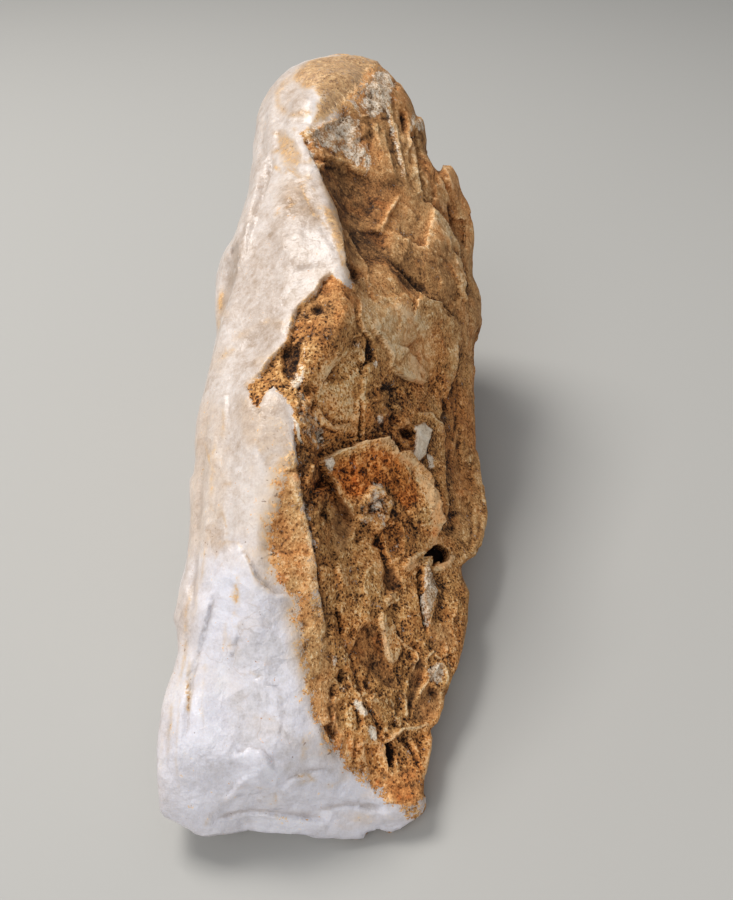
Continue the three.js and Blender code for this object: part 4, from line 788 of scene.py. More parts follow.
    # grooves, slits and pits, with painted shade in them
    slit([(359.5, 400), (358.5, 418), (359, 439)], 1.7, -3.4, 1.0)
    slit([(336, 611), (337, 618), (339, 626), (341, 634)], 1.9, -2.6, 1.0)
    slit([(377, 534), (380, 546), (384, 557), (389, 568)], 2.4, -1.8, 1.0)
    slit([(404, 507), (410, 517), (414, 528), (416, 538)], 2.0, -1.0, .6)
    slit([(421, 560), (418, 576), (419, 590), (421, 604), (424, 618), (427, 632)], 1.9, -2.0, 1.0)
    slit([(333, 684), (332, 698)], 2.2, -.9, .8)
    slit([(330, 706), (331, 718)], 1.8, -.7, .8)
    slit([(357, 706), (358, 716), (360, 726)], 2.0, -1.2, .9)
    slit([(357, 736), (355, 748), (354, 760), (356, 770)], 1.4, -.8, .7)
    slit([(362, 760), (363, 774)], 1.8, -.8, .7)
    slit([(362, 700), (368, 708), (373, 717), (377, 726), (379, 737), (383, 741)], 1.5, -1.2, .95)
    slit([(398, 692), (399, 704), (402, 712)], 1.6, -.9, .7)
    slit([(403, 738), (409, 745), (413, 754), (418, 764), (422, 772)], 1.5, -1.2, .95)
    slit([(394, 622), (398, 634), (404, 642)], 1.2, -.6, .4)
    slit([(378, 720), (382, 732), (388, 737)], 1.6, -.9, .7)
    slit([(336, 525), (344, 522), (352, 519)], 1.0, -.4, .7)
    for poly, h, k in (([(385, 744), (391, 741), (394, 752), (393, 766), (388, 766), (385, 756)], -2.4, 1.0), ([(324, 726), (333, 722), (335, 734), (331, 742)], -1.2, .8),
                       ([(284, 352), (292, 344), (300, 350), (299, 362), (294, 378), (288, 380), (283, 370)], -.8, .85), ([(366, 340), (372, 340), (373, 354), (368, 362), (364, 376), (360, 372), (364, 358)], -1.2, .8),
                       ([(322, 508), (328, 514), (330, 522), (326, 524), (320, 516)], -.7, .7), ([(374, 538), (380, 536), (382, 546), (379, 549), (372, 545)], -1.0, .9)):
        R.patch(poly, h, 3, 1)
        dark.patch(poly, k, 3, 1, mode='max')
    slit([(454, 246), (460, 258), (464, 275), (466, 292)], 1.8, -1.5, .7)
    slit([(448, 203), (452, 226)], 2.0, -1.4, .7)
    slit([(402, 113), (405, 132)], 2.4, -1.8, .9)
    slit([(272, 156), (270, 178)], 2.0, -1.2, 0)
    slit([(388, 262), (402, 280), (418, 295)], 2.6, -.8, .5)
    slit([(440, 304), (450, 315), (463, 325)], 2.4, -1.0, .6)
    slit([(442, 398), (443, 412)], 3.5, -1.4, .8)
    slit([(333, 484), (335, 496), (340, 508)], 1.8, -1.1, .7)
    slit([(346, 262), (352, 276), (360, 282)], 2.2, -1.0, .6)
    slit([(300, 470), (306, 500), (312, 530)], 2.2, -.6, .4)
    slit([(291, 412), (295, 436), (297, 458), (300, 480), (304, 502), (309, 522), (313, 542), (317, 566), (320, 590), (325, 616)], 1.6, -.7, .65)
    slit([(342, 352), (334, 366), (327, 384)], 1.5, -.3, .3)
    slit([(336, 508), (346, 512), (352, 520)], 1.2, -.3, .5)
    slit([(370, 120), (372, 150)], 2, -.4, .3)
    slit([(356, 304), (358, 325), (368, 338)], 1.8, -.9, .5)
    slit([(330, 296), (326, 320), (322, 344)], 1.8, -.4, .3)
    slit([(470, 500), (472, 520), (470, 545)], 2.2, -.6, .5)
    slit([(455, 410), (458, 440), (458, 470)], 2.2, -.5, .4)
    for x, y, rx, ry, a, h, k in ((406, 434, 5, 5, 0, -3.8, 1), (396, 445, 4, 3.5, 0, -2.2, .9), (395, 423, 4, 3, 0, -1.6, .8), (360, 472, 7, 5, 0, -1.0, 1.0), (345, 471, 5, 3, 0, -.6, .85), (386, 482, 4, 3, 0, -.6, .8), (376, 465, 2.4, 2.4, 0, -.4, .7), (392, 470, 2.6, 2.6, 0, -.4, .7), (317, 310, 5, 4, 0, -1.2, .95), (307, 317, 3, 2.5, 0, -.7, .8), (416, 647, 4, 3, 0, -.9, .95), (353, 633, 4, 3, -30, -.8, .9), (362, 510, 3, 3.5, 0, -.9, .8), (364, 524, 4, 3, 0, -.9, .8), (380, 516, 2.6, 3, 0, -.7, .7), (335, 432, 5, 2, 20, -.8, .9), (348, 436, 5, 3, 20, -.8, .9), (386, 388, 6, 5, 0, -.8, .8), (392, 422, 4, 6, 0, -.9, .9), (317, 484, 5, 4, 0, -.8, .85), (310, 494, 4, 4, 0, -.7, .8), (402, 738, 4, 2.5, 0, -.8, .9), (342, 674, 3.5, 6, 0, -.9, .9), (396, 714, 2, 4, 0, -.5, .6),
                                  (352, 482, 4, 5, 0, -.6, .6), (374, 510, 5, 5, 0, -1.6, .7), (366, 524, 3.5, 3.5, 0, -.8, .6), (305, 624, 4, 2.4, 0, -.8, .8), (341, 677, 3.5, 4.5, 0, -1.3, .85),
                                  (395, 724, 2.6, 2.6, 0, -1.2, .8), (318, 312, 5, 3.5, -30, -.8, .8), (343, 134, 6, 4.5, 20, -.7, .7), (347, 118, 6, 3, 0, -.5, .55), (354, 272, 4, 7, 0, -1.2, .7),
                                  (329, 488, 3, 6, 10, -.7, .5), (424, 286, 6, 4, 30, -.7, .4), (300, 674, 2.5, 5, 0, -.3, .5), (414, 470, 3, 3, 0, -.3, .3), (446, 482, 3, 8, 0, -.5, .5),
                                  (432, 668, 2.5, 2.5, 0, -.6, .7), (375, 600, 3, 3, 0, -.4, .5), (350, 612, 3, 2, 0, -.3, .4), (410, 500, 2.5, 3, 0, -.4, .5)):
        R.blob(x, y, rx, ry, a, h)
        dark.blob(x, y, rx, ry, a, k, mode='max')
    R.patch([(423, 556), (426, 551), (430, 547), (434, 545), (440, 546), (443, 551), (446, 558), (444, 563), (439, 565), (435, 563), (433, 566), (430, 562), (427, 557)], -4.6, 3, .8)
    # tiny cavities and lumps strewn over the crust, with painted shade in the cavities and painted highlight on the
    # lumps
    rnd = np.random.RandomState(77)
    n = 0
    while n < 620:
        x, y = rnd.uniform(255, 480), rnd.uniform(240, 800)
        if crust.a[int(y), int(x)] < .6:
            continue
        n += 1
        big = rnd.rand() ** 3
        sgn = -1 if rnd.rand() < .6 else 1
        r0 = 1.1 + 1.7 * big
        k = sstep(230, 420, y) * .8 + .2
        R.blob(x, y, r0, r0 * rnd.uniform(.7, 1.6), rnd.uniform(0, 180), sgn * (.18 + .3 * big) * k)
        if sgn < 0:
            dark.blob(x, y, r0, r0, 0, (.35 + .5 * rnd.rand()) * k, mode='max')
        else:
            pale.blob(x, y, r0, r0, 0, (.3 + .4 * rnd.rand()) * k, mode='max')
    # short ridges with a painted highlight line, and short grooves with painted shade
    for (x0, y0, x1, y1), cnt, amp in (((296, 396, 330, 520), 90, .55), ((366, 384, 412, 446), 70, .6), ((284, 320, 320, 392), 40, .45), ((358, 484, 396, 540), 46, .55), ((412, 640, 446, 700), 40, .4),
                                       ((350, 680, 410, 740), 50, .35), ((330, 460, 400, 500), 50, .4), ((316, 600, 350, 690), 40, .35), ((440, 380, 480, 560), 50, .35), ((366, 70, 400, 130), 40, .4),
                                       ((306, 122, 372, 170), 60, .4)):
        for _ in range(cnt):
            x, y = rnd.uniform(x0, x1), rnd.uniform(y0, y1)
            an, ln = rnd.uniform(0, math.pi), rnd.uniform(2, 7)
            p2 = [(x, y), (x + ln * math.cos(an), y + ln * math.sin(an))]
            if rnd.rand() < .5:
                R.ridge(p2, rnd.uniform(1.0, 1.8), amp * rnd.uniform(.4, 1.2), False)
                pale.ridge(p2, 1.2, rnd.uniform(.3, .8), False, mode='max')
            else:
                R.ridge(p2, rnd.uniform(1.2, 2.2), -amp * rnd.uniform(.5, 1.4), False)
                dark.ridge(p2, 1.4, rnd.uniform(.3, .9), False, mode='max')
    # raised patches
    for poly, h, f in (([(414, 427), (424, 422), (433, 430), (428, 442), (425, 454), (418, 462), (413, 452), (415, 440)], 1.5, 4),
                       ([(358, 504), (364, 498), (370, 486), (380, 486), (388, 494), (394, 503), (390, 516), (384, 530), (378, 534), (372, 524), (366, 528), (358, 522)], 1.9, 5),
                       ([(426, 566), (432, 576), (437, 592), (434, 612), (428, 632), (424, 614), (423, 590)], 1.2, 3),
                       ([(353, 700), (360, 701), (368, 714), (363, 717), (356, 710)], .9, 3),
                       ([(322, 459), (332, 456), (336, 462), (331, 473), (325, 469)], .7, 3),
                       ([(440, 166), (449, 163), (458, 168), (460, 184), (452, 190), (444, 182)], 1.2, 6),
                       ([(276, 131), (284, 131), (296, 142), (299, 158), (300, 172), (292, 170), (282, 160), (276, 148)], -.5, 5)):
        R.patch(poly, h, f, 1.5)
    # ---- white faces: thin broken layers, hairline cracks, shallow shell-shaped waves
    W = Map()
    for pts, h, L, lo in (([(262, 211), (250, 228), (246, 252), (240, 276)], .25, 14, .2), ([(296, 181), (304, 200), (314, 219), (325, 239), (338, 258)], .22, 18, .4),
                          ([(322, 215), (306, 222), (300, 238), (286, 243), (282, 256)], .3, 16, .3), ([(330, 262), (314, 268), (302, 266), (290, 272)], .22, 14, .3),
                          ([(300, 284), (286, 300), (270, 310), (258, 326)], .18, 20, .3), ([(262, 211), (276, 206), (292, 210)], .15, 14, .3),
                          ([(270, 320), (256, 336), (240, 345)], .2, 14, .3), ([(256, 440), (262, 456), (270, 472)], .25, 10, .5),
                          ([(228, 385), (226, 420), (222, 450), (218, 480)], .35, 12, .6), ([(236, 540), (248, 560), (258, 580), (274, 594), (292, 596)], .55, 16, .5),
                          ([(214, 590), (206, 620), (198, 650), (192, 680)], .35, 16, .6), ([(240, 620), (236, 640), (230, 660)], .25, 12, .4),
                          ([(232, 748), (240, 754), (250, 748), (262, 752), (270, 760), (274, 772)], .4, 14, .5), ([(232, 748), (228, 764), (222, 776)], .2, 12, .4),
                          ([(278, 690), (282, 720), (276, 750)], .15, 16, .4), ([(250, 676), (270, 684), (292, 700)], .15, 16, .4), ([(225, 800), (240, 780), (262, 770)], .3, 16, .5),
                          ([(275, 800), (290, 780), (310, 772), (336, 770)], .3, 18, .5), ([(208, 600), (214, 580), (222, 560)], .25, 10, .5),
                          ([(318, 812), (350, 806), (384, 812)], .3, 12, .6), ([(214, 822), (250, 812), (290, 816), (330, 822)], .4, 10, .8)):
        W.scarp(pts, h, L, low=lo, edge=1.6)
    for pts, w, h in (([(198, 480), (190, 540), (184, 600), (180, 640)], 3, .35), ([(204, 440), (200, 500), (196, 560), (192, 620)], 3, -.35),
                      ([(213, 430), (210, 480), (206, 530), (204, 580)], 3, .3), ([(208, 400), (204, 440)], 3, -.3), ([(222, 400), (218, 460), (214, 520), (210, 560)], 3, -.25),
                      ([(228, 440), (226, 500), (224, 550)], 4, .25), ([(236, 500), (232, 560), (228, 590)], 4, -.2), ([(196, 640), (190, 700), (186, 740)], 3, -.25), ([(188, 660), (180, 720), (178, 780)], 4, .2),
                      ([(172, 690), (166, 740), (166, 790)], 4, -.25), ([(252, 350), (244, 390), (246, 430)], 5, .15), ([(268, 170), (262, 200), (250, 240)], 4, -.5), ([(256, 150), (256, 190), (246, 230)], 4, .5),
                      ([(238, 240), (230, 270), (224, 300)], 4, -.4), ([(265, 110), (262, 140), (264, 160)], 4, -.5), ([(275, 105), (300, 98), (318, 104)], 4, .4), ([(280, 125), (300, 120), (312, 124)], 4, -.4)):
        W.ridge(pts, w, h)
    for x, y, rx, ry, a, h in ((245, 640, 26, 30, 0, .35), (250, 720, 34, 30, 10, -.5), (262, 775, 30, 20, 0, .4), (205, 760, 24, 40, 0, .35), (300, 650, 14, 40, 0, .2), (290, 720, 22, 40, 10, .3),
                               (285, 225, 20, 24, 20, .35), (275, 290, 24, 24, 0, -.3), (250, 380, 18, 30, 0, .3), (255, 500, 14, 44, 0, .3), (234, 470, 12, 40, 0, -.35), (215, 500, 10, 50, 0, .3),
                               (300, 100, 18, 16, 0, .5), (345, 75, 26, 14, 0, .4), (225, 700, 16, 40, 0, -.25), (318, 775, 22, 14, 0, -.3), (330, 812, 36, 10, 0, -.4), (240, 820, 24, 9, 0, -.5)):
        W.blob(x, y, rx, ry, a, h)
    W.a *= 1.15 + 0.9 * sstep(520, 620, np.arange(MH, dtype=np.float32))[:, None]
    R.a += W.a
    cool.patch([(172, 690), (205, 560), (240, 545), (292, 600), (330, 740), (420, 800), (425, 860), (150, 860), (150, 740)], 1.0, 60, 4, mode='max')
    light = Map()
    draw_light(light)
    smooth = Map()
    for poly, k, f in (([(420, 692), (432, 686), (444, 690), (442, 704), (438, 716), (428, 722), (414, 720), (415, 706)], 1, 5), ([(409, 672), (420, 656), (425, 666), (423, 680), (414, 700), (411, 716), (408, 706)], 1, 4),
                       ([(352, 650), (358, 636), (364, 624), (374, 622), (381, 634), (384, 648), (388, 662), (392, 674), (398, 690), (388, 688), (376, 678), (362, 664)], .8, 6),
                       ([(334, 502), (342, 500), (350, 508), (352, 520), (350, 532), (348, 548), (338, 552), (332, 540), (330, 520)], 1, 5), ([(384, 566), (392, 567), (398, 576), (400, 586), (394, 591), (386, 590), (382, 579)], 1, 4),
                       ([(430, 626), (450, 624), (454, 640), (450, 652), (440, 652), (430, 645)], .8, 6), ([(366, 306), (390, 298), (412, 306), (432, 322), (436, 350), (428, 380), (406, 380), (390, 368), (376, 340)], .9, 12),
                       ([(450, 300), (486, 300), (488, 540), (446, 540), (444, 440)], .5, 14),
                       ([(376, 774), (398, 768), (422, 776), (424, 800), (412, 814), (396, 804), (380, 792)], .7, 6),
                       ([(255, 440), (300, 440), (326, 620), (345, 760), (400, 810), (380, 812), (320, 760), (280, 640), (255, 560)], .6, 12)):
        smooth.patch(poly, k, f, 2, mode='max')
    fine, broad = split_map(R)
    return dict(W=W, smooth=smooth, strip=strip_map, light=light, R=R, fine=fine, broad=broad, crust=crust, stain=stain, dark=dark, pale=pale, rust=rust, grey=grey, white=white, cool=cool)


def draw_light(light):
    """Lighter, more ochre parts of the crust (above 0) and darker ones (below 0); some of the darker ones are painted
    shade on shaded faces and in hollows.
    """
    for poly, k, f in (([(376, 186), (402, 186), (420, 200), (440, 222), (452, 250), (440, 268), (420, 262), (404, 240), (390, 232)], .55, 14),
                       ([(384, 200), (400, 192), (416, 204), (412, 226), (392, 232), (384, 222)], .9, 6), ([(420, 206), (438, 212), (448, 236), (430, 246), (416, 232)], 1.2, 8),
                       ([(404, 122), (416, 132), (424, 170), (430, 196), (414, 190), (406, 160)], .8, 7), ([(350, 256), (366, 256), (370, 284), (354, 290)], .8, 7),
                       ([(410, 130), (428, 150), (446, 175), (462, 200), (472, 250), (480, 300), (466, 300), (450, 240), (430, 200), (414, 160)], .35, 14),
                       ([(360, 296), (386, 290), (410, 304), (432, 320), (436, 350), (428, 380), (406, 380), (390, 368), (376, 340), (360, 330)], 2.2, 14),
                       ([(322, 362), (344, 350), (364, 352), (364, 392), (356, 422), (336, 428), (320, 420), (312, 396)], 2.5, 12),
                       ([(440, 330), (470, 310), (486, 340), (484, 390), (470, 400), (452, 372)], .35, 12),
                       ([(330, 268), (344, 270), (352, 290), (362, 330), (356, 350), (338, 358), (316, 352), (304, 330), (320, 290)], -.1, 14),
                       ([(330, 272), (346, 272), (346, 300), (318, 300)], .5, 10),
                       ([(400, 584), (422, 570), (424, 640), (412, 646), (398, 634), (386, 616)], .5, 9),
                       ([(340, 690), (366, 704), (376, 730), (388, 764), (398, 800), (378, 786), (352, 770), (338, 750)], .7, 10),
                       ([(364, 680), (392, 690), (404, 720), (384, 745), (368, 700)], .6, 10),
                       ([(388, 470), (412, 462), (430, 490), (436, 530), (420, 530), (404, 510)], .25, 10),
                       ([(402, 454), (412, 462), (422, 476), (432, 492), (440, 512), (441, 530), (436, 544), (430, 540), (430, 510), (424, 494), (416, 480), (408, 468), (400, 460)], 3.0, 4),
                       ([(381, 610), (388, 612), (392, 622), (396, 634), (401, 643), (402, 650), (398, 658), (392, 664), (388, 660), (385, 648), (382, 632)], 1.4, 4),
                       ([(376, 694), (392, 696), (404, 716), (402, 730), (386, 728), (374, 708)], .9, 6),
                       ([(382, 540), (396, 540), (402, 552), (396, 562), (386, 554)], .8, 6),
                       ([(412, 410), (432, 412), (446, 430), (444, 450), (434, 470), (436, 440), (430, 424), (414, 424)], .8, 6),
                       ([(276, 470), (292, 440), (300, 480), (312, 545), (318, 600), (326, 660), (330, 740), (340, 760), (318, 730), (300, 660), (280, 585), (266, 540)], .7, 10),
                       
                       ([(452, 440), (476, 450), (486, 504), (484, 530), (466, 548), (454, 520)], .9, 12),
                       ([(318, 60), (340, 54), (372, 58), (366, 84), (344, 102), (318, 124), (306, 120)], 2.8, 12),
                       ([(330, 462), (372, 448), (400, 456), (418, 490), (410, 512), (390, 486), (350, 498)], 1.4, 8),
                       ([(330, 548), (372, 540), (392, 600), (370, 620), (326, 610)], 1.2, 12),
                       ([(268, 470), (284, 455), (284, 590), (264, 540)], .7, 10)):
        light.patch(poly, k, f, 3, mode='max')
    # changes to the tone; several darker parts are painted shade: the shaded band along the white's left side, and the
    # shadowed slab, hollows and crack at the top of the crust
    for poly, k, f in (([(228, 640), (290, 640), (300, 700), (306, 750), (270, 760), (230, 740)], -.9, 16),
                       ([(196, 590), (230, 560), (236, 640), (220, 760), (180, 760), (170, 700)], .8, 14),
                       ([(232, 748), (252, 744), (272, 752), (276, 774), (256, 784), (240, 776)], 1.0, 3),
                       ([(286, 650), (300, 680), (306, 720), (300, 740), (286, 690)], .6, 8),
                       ([(250, 812), (300, 804), (316, 838), (256, 838)], 1.0, 6), ([(316, 808), (360, 802), (366, 840), (320, 838)], .4, 6),
                       ([(262, 180), (250, 260), (222, 330), (214, 420), (200, 520), (186, 560), (200, 420), (230, 260)], -.6, 12),
                       ([(284, 190), (304, 230), (330, 276), (298, 304), (270, 350), (240, 386), (236, 320), (262, 230)], -.8, 12),
                       ([(420, 690), (440, 684), (442, 704), (438, 716), (428, 722), (414, 720)], -.6, 4), ([(409, 672), (420, 656), (425, 666), (423, 680), (414, 700), (411, 716)], -1.2, 4),
                       ([(384, 774), (404, 770), (422, 778), (424, 800), (412, 812), (396, 800)], -1.3, 8),
                       ([(392, 240), (450, 240), (462, 300), (440, 300), (404, 262)], -.5, 12),
                       ([(318, 150), (350, 170), (374, 178), (398, 180), (400, 192), (390, 212), (382, 230), (372, 250), (352, 246), (342, 220), (328, 190)], -1.5, 10),
                       ([(350, 232), (372, 228), (386, 238), (388, 262), (366, 266), (354, 258)], -1.4, 10),
                       ([(376, 256), (390, 260), (404, 272), (426, 290), (422, 302), (400, 288), (384, 270)], -1.6, 7),
                       ([(306, 312), (330, 318), (334, 350), (300, 380), (284, 372), (286, 346)], -.5, 10),
                       ([(300, 400), (320, 430), (340, 450), (326, 470), (306, 460), (296, 430)], -.25, 10),
                       ([(376, 384), (400, 384), (412, 408), (404, 450), (384, 436), (372, 408)], -.2, 10),
                       ([(340, 500), (354, 505), (352, 540), (336, 540)], -.1, 8),
                       ([(318, 476), (334, 484), (330, 520), (318, 520), (308, 490)], -.3, 8),
                       ([(442, 395), (456, 384), (460, 420), (452, 480), (446, 540), (440, 480)], -.45, 9),
                       ([(346, 221), (384, 221), (384, 266), (346, 266)], 0.9, 12), ([(331, 496), (356, 496), (356, 544), (331, 544)], 0.9, 12), ([(451, 466), (484, 466), (484, 544), (451, 544)], 0.6, 12),
                       ([(436, 556), (469, 556), (469, 624), (436, 624)], 0.45, 12), ([(396, 476), (429, 476), (429, 524), (396, 524)], 0.4, 12), ([(316, 286), (349, 286), (349, 344), (316, 344)], -0.55, 12),
                       ([(331, 556), (369, 556), (369, 624), (331, 624)], -0.5, 12), ([(406, 196), (444, 196), (444, 264), (406, 264)], -0.35, 12), ([(416, 126), (449, 126), (449, 184), (416, 184)], -0.5, 12),
                       ([(281, 181), (319, 181), (319, 219), (281, 219)], -1.6, 12), ([(282, 84), (314, 84), (314, 116), (282, 116)], -1.2, 12), ([(236, 396), (284, 396), (284, 444), (236, 444)], -0.7, 12),
                       ([(416, 656), (444, 656), (444, 704), (416, 704)], 0.3, 12), ([(336, 696), (384, 696), (384, 764), (336, 764)], 0.3, 12), ([(386, 251), (414, 251), (414, 279), (386, 279)], -0.4, 12),
                       ([(384, 526), (402, 520), (412, 545), (408, 580), (396, 575), (386, 560)], .1, 8)):
        light.patch(poly, k, f, 3, mode='add')


def split_map(R, sig=2.4):
    """The broad part of the relief, and the crisp rest."""
    r = int(3 * sig) + 1
    w = np.exp(-.5 * (np.arange(-r, r + 1) / sig) ** 2)
    w /= w.sum()
    a = R.a
    for ax in (0, 1):
        p = np.pad(a, [(r, r) if i == ax else (0, 0) for i in range(2)], mode='edge')
        o = np.zeros_like(a)
        for i, k in enumerate(w):
            sl = [slice(None)] * 2
            sl[ax] = slice(i, i + a.shape[ax])
            o += np.float32(k) * p[tuple(sl)]
        a = o
    broad, fine = Map(), Map()
    broad.a, fine.a = a, R.a - a
    return fine, broad


# ---------------------------------------------------------------- the solid
def far_crust(x, d, z):
    """Where the crust lies on the faces that the flat map doesn't cover (1 crust, 0 white)."""
    n = 7 * fbm(x, d, z, 301, 30, 3) + 3 * fbm(x, d, z, 305, 8, 2)
    back = sstep(245, 268, d)
    edge = (1 - back) * 2.0 + back * (-6.0 + 0.10 * (60 - z))
    low = sstep(18, 2, z) * 6
    return sstep(-2.2, 2.2, x - edge + n + low * .3)


def solve(h, maps):
    lo, hi = (-44.0, 88.0, -2.5 * h), (40.0, 281.5, 103.0)
    c, cax = cage_field((-46.0, 86.0, -6.0), (41.5, 284.0, 108.0), 1.5)
    c = smooth3(c, 0.95)
    ax = [lo[k] + h * np.arange(int((hi[k] - lo[k]) / h) + 1) for k in range(3)]
    F = refine(c, cax, ax)
    I, J, K = np.nonzero(np.abs(F) < 6.5)
    x, d, z = ax[0][I].astype(np.float32), ax[1][J].astype(np.float32), ax[2][K].astype(np.float32)
    f = F[I, J, K]
    # the way the smooth body faces, for telling seen from unseen faces
    g = np.gradient(c, 1.5)
    G = [refine(q.astype(np.float32), cax, ax)[I, J, K] for q in g]
    gl = np.sqrt(G[0] ** 2 + G[1] ** 2 + G[2] ** 2) + 1e-6
    vx, vy, vz = -x, -d, EYE_H - z
    vl = np.sqrt(vx * vx + vy * vy + vz * vz)
    nv = (G[0] * vx + G[1] * vy + G[2] * vz) / (gl * vl)
    seen = sstep(0.02, 0.26, nv)
    f = f - 1.5 * noise(x / 26, d / 26, z / 26, 11) - 0.75 * noise(x / 11, d / 11, z / 11, 12)
    u, v, s = project(x, d, z)
    # trim to the outline
    o = maps['out'].at(u, v) * s / FPX
    rimw = np.exp(-(nv / 0.42) ** 2) * sstep(3.0, 9.0, z)
    f = f - 1.5 * rimw * sstep(-7.0, -2.0, o)          # fills out to the outline
    r = np.clip(1.6 - np.abs(f - o), 0, None) / 1.6
    f = np.maximum(f, o) + r * r * 0.3
    # laid-out relief on the seen faces
    rel = maps['broad'].at(u, v)
    crust = maps['crust'].at(u, v) * seen + far_crust(x, d, z) * (1 - seen)
    near_edge = sstep(0.0, 2.5, -o)          # keeps the outline true
    f = f - rel * seen * (0.25 + 0.75 * near_edge)
    # free relief: broken slabs and chips on the crust, gentle on the white faces
    wx, wz = x + 1.6 * fbm(x, d, z, 41, 8, 2), z + 1.6 * fbm(x, d, z, 45, 8, 2)
    coarse = sstep(230, 400, v) * seen + 0.75 * (1 - seen)
    hid = 1 - seen
    t1, r1, g1 = facets(wx, d * 0.62, wz, 61, 13.0)
    t2, r2, g2 = facets(wx, d * 0.8, wz, 81, 5.6)
    t3, r3, g3 = facets(x, d, z, 131, 2.4)
    rel2 = (t1 * 1.9 + (r1 - .5) * 0.9) * (0.55 + 0.8 * hid) + (t2 * 1.15 + (r2 - .5) * 0.55) * (0.36 + 0.5 * hid) \
        + (t3 * 0.75 + (r3 - .5) * 0.25) * (0.08 + 0.6 * hid) + fbm(x, d, z, 91, 3.2, 3, 0.6) * 0.42 * (0.12 + 0.5 * hid)
    rel2 = rel2 + hid * 0.9 * fbm(x, d, z, 71, 11.0, 3, 0.5, True)
    f = f - crust * rel2 * (0.3 + 0.7 * near_edge)
    s1, q1, g1 = facets(x * 1.25, d * 0.5, z, 101, 13.0)
    s2, q2, g2 = facets(wx, d * 0.6, wz, 141, 4.5)
    relw = (s1 * 1.5 + (q1 - .5) * 0.3) * (0.10 + 0.75 * hid) + (s2 * 0.5 + (q2 - .5) * 0.12) * (0.32 + 0.38 * hid) \
        + 0.16 * fbm(x, d, z, 121, 3.5, 3) + 0.25 * hid * fbm(x, d, z, 111, 12, 3)
    f = f - (1 - crust) * relw * (0.3 + 0.7 * near_edge)
    F[I, J, K] = f
    zz = ax[2][None, None, :].astype(np.float32)
    F = np.maximum(F, -zz)
    return F, ax


# ------------------------------------------------------------------- material
def lin(c):
    return tuple((v / 255 / 12.92 if v <= 10.31475 else ((v / 255 + 0.055) / 1.055) ** 2.4) for v in c)


class Net:
    """Short names for building a node tree."""

    def __init__(self, tree):
        self.t = tree
        self.t.nodes.clear()
        self.k = 0

    def node(self, kind, **props):
        n = self.t.nodes.new(kind)
        n.location = (220 * (self.k // 8), -180 * (self.k % 8))
        self.k += 1
        for a, b in props.items():
            setattr(n, a, b)
        return n

    def put(self, sock, val):
        if hasattr(val, 'links') or isinstance(val, bpy.types.NodeSocket):
            self.t.links.new(val, sock)
        elif isinstance(val, tuple) and len(val) == 3 and sock.type == 'RGBA':
            sock.default_value = (*val, 1.0)
        else:
            sock.default_value = val

    def math(self, op, a, b=0.0, c=0.0, clamp=False):
        n = self.node('ShaderNodeMath', operation=op, use_clamp=clamp)
        self.put(n.inputs[0], a)
        self.put(n.inputs[1], b)
        if op in ('MULTIPLY_ADD', 'SMOOTH_MIN', 'SMOOTH_MAX', 'COMPARE', 'WRAP'):
            self.put(n.inputs[2], c)
        return n.outputs[0]

    def add(self, a, b):
        return self.math('ADD', a, b)

    def sub(self, a, b):
        return self.math('SUBTRACT', a, b)

    def mul(self, a, b):
        return self.math('MULTIPLY', a, b)

    def mad(self, a, b, c):
        return self.math('MULTIPLY_ADD', a, b, c)

    def mx(self, a, b):
        return self.math('MAXIMUM', a, b)

    def mn(self, a, b):
        return self.math('MINIMUM', a, b)

    def step(self, x, a, b, lo=0.0, hi=1.0):
        n = self.node('ShaderNodeMapRange', interpolation_type='SMOOTHSTEP')
        for i, v in enumerate((x, a, b, lo, hi)):
            self.put(n.inputs[i], v)
        return n.outputs[0]

    def mix(self, f, a, b, kind='MIX'):
        n = self.node('ShaderNodeMix', data_type='RGBA', blend_type=kind, clamp_factor=True)
        self.put(n.inputs[0], f)
        self.put(n.inputs[6], a)
        self.put(n.inputs[7], b)
        return n.outputs[2]

    def lerp(self, f, a, b):
        n = self.node('ShaderNodeMix', data_type='FLOAT', clamp_factor=True)
        self.put(n.inputs[0], f)
        self.put(n.inputs[2], a)
        self.put(n.inputs[3], b)
        return n.outputs[0]

    def noise(self, p, size, detail=3.0, rough=0.55, seed=0.0, warp=0.0):
        """Noise about 0.5 wide; size is the length of one swell in millimetres."""
        o = self.node('ShaderNodeVectorMath', operation='ADD')
        self.put(o.inputs[0], p)
        o.inputs[1].default_value = (seed * 31.7, seed * -17.3, seed * 11.9)
        n = self.node('ShaderNodeTexNoise', noise_dimensions='3D')
        n.normalize = True
        self.t.links.new(o.outputs[0], n.inputs['Vector'])
        n.inputs['Scale'].default_value = 1.0 / size
        n.inputs['Detail'].default_value = detail
        n.inputs['Roughness'].default_value = rough
        n.inputs['Distortion'].default_value = warp
        return n.outputs[0]

    def voro(self, p, size, feature='F1', rand=1.0):
        n = self.node('ShaderNodeTexVoronoi', feature=feature)
        self.put(n.inputs['Vector'], p)
        n.inputs['Scale'].default_value = 1.0 / size
        n.inputs['Randomness'].default_value = rand
        return n

    def attr(self, name):
        n = self.node('ShaderNodeAttribute', attribute_name=name)
        return n.outputs['Fac']

    def ramp(self, f, stops, interp='LINEAR'):
        n = self.node('ShaderNodeValToRGB')
        n.color_ramp.interpolation = interp
        els = n.color_ramp.elements
        while len(els) > 1:
            els.remove(els[-1])
        for i, (pos, col) in enumerate(stops):
            e = els[0] if i == 0 else els.new(pos)
            e.position = pos
            e.color = (*lin(col), 1.0)
        self.put(n.inputs[0], f)
        return n.outputs[0]


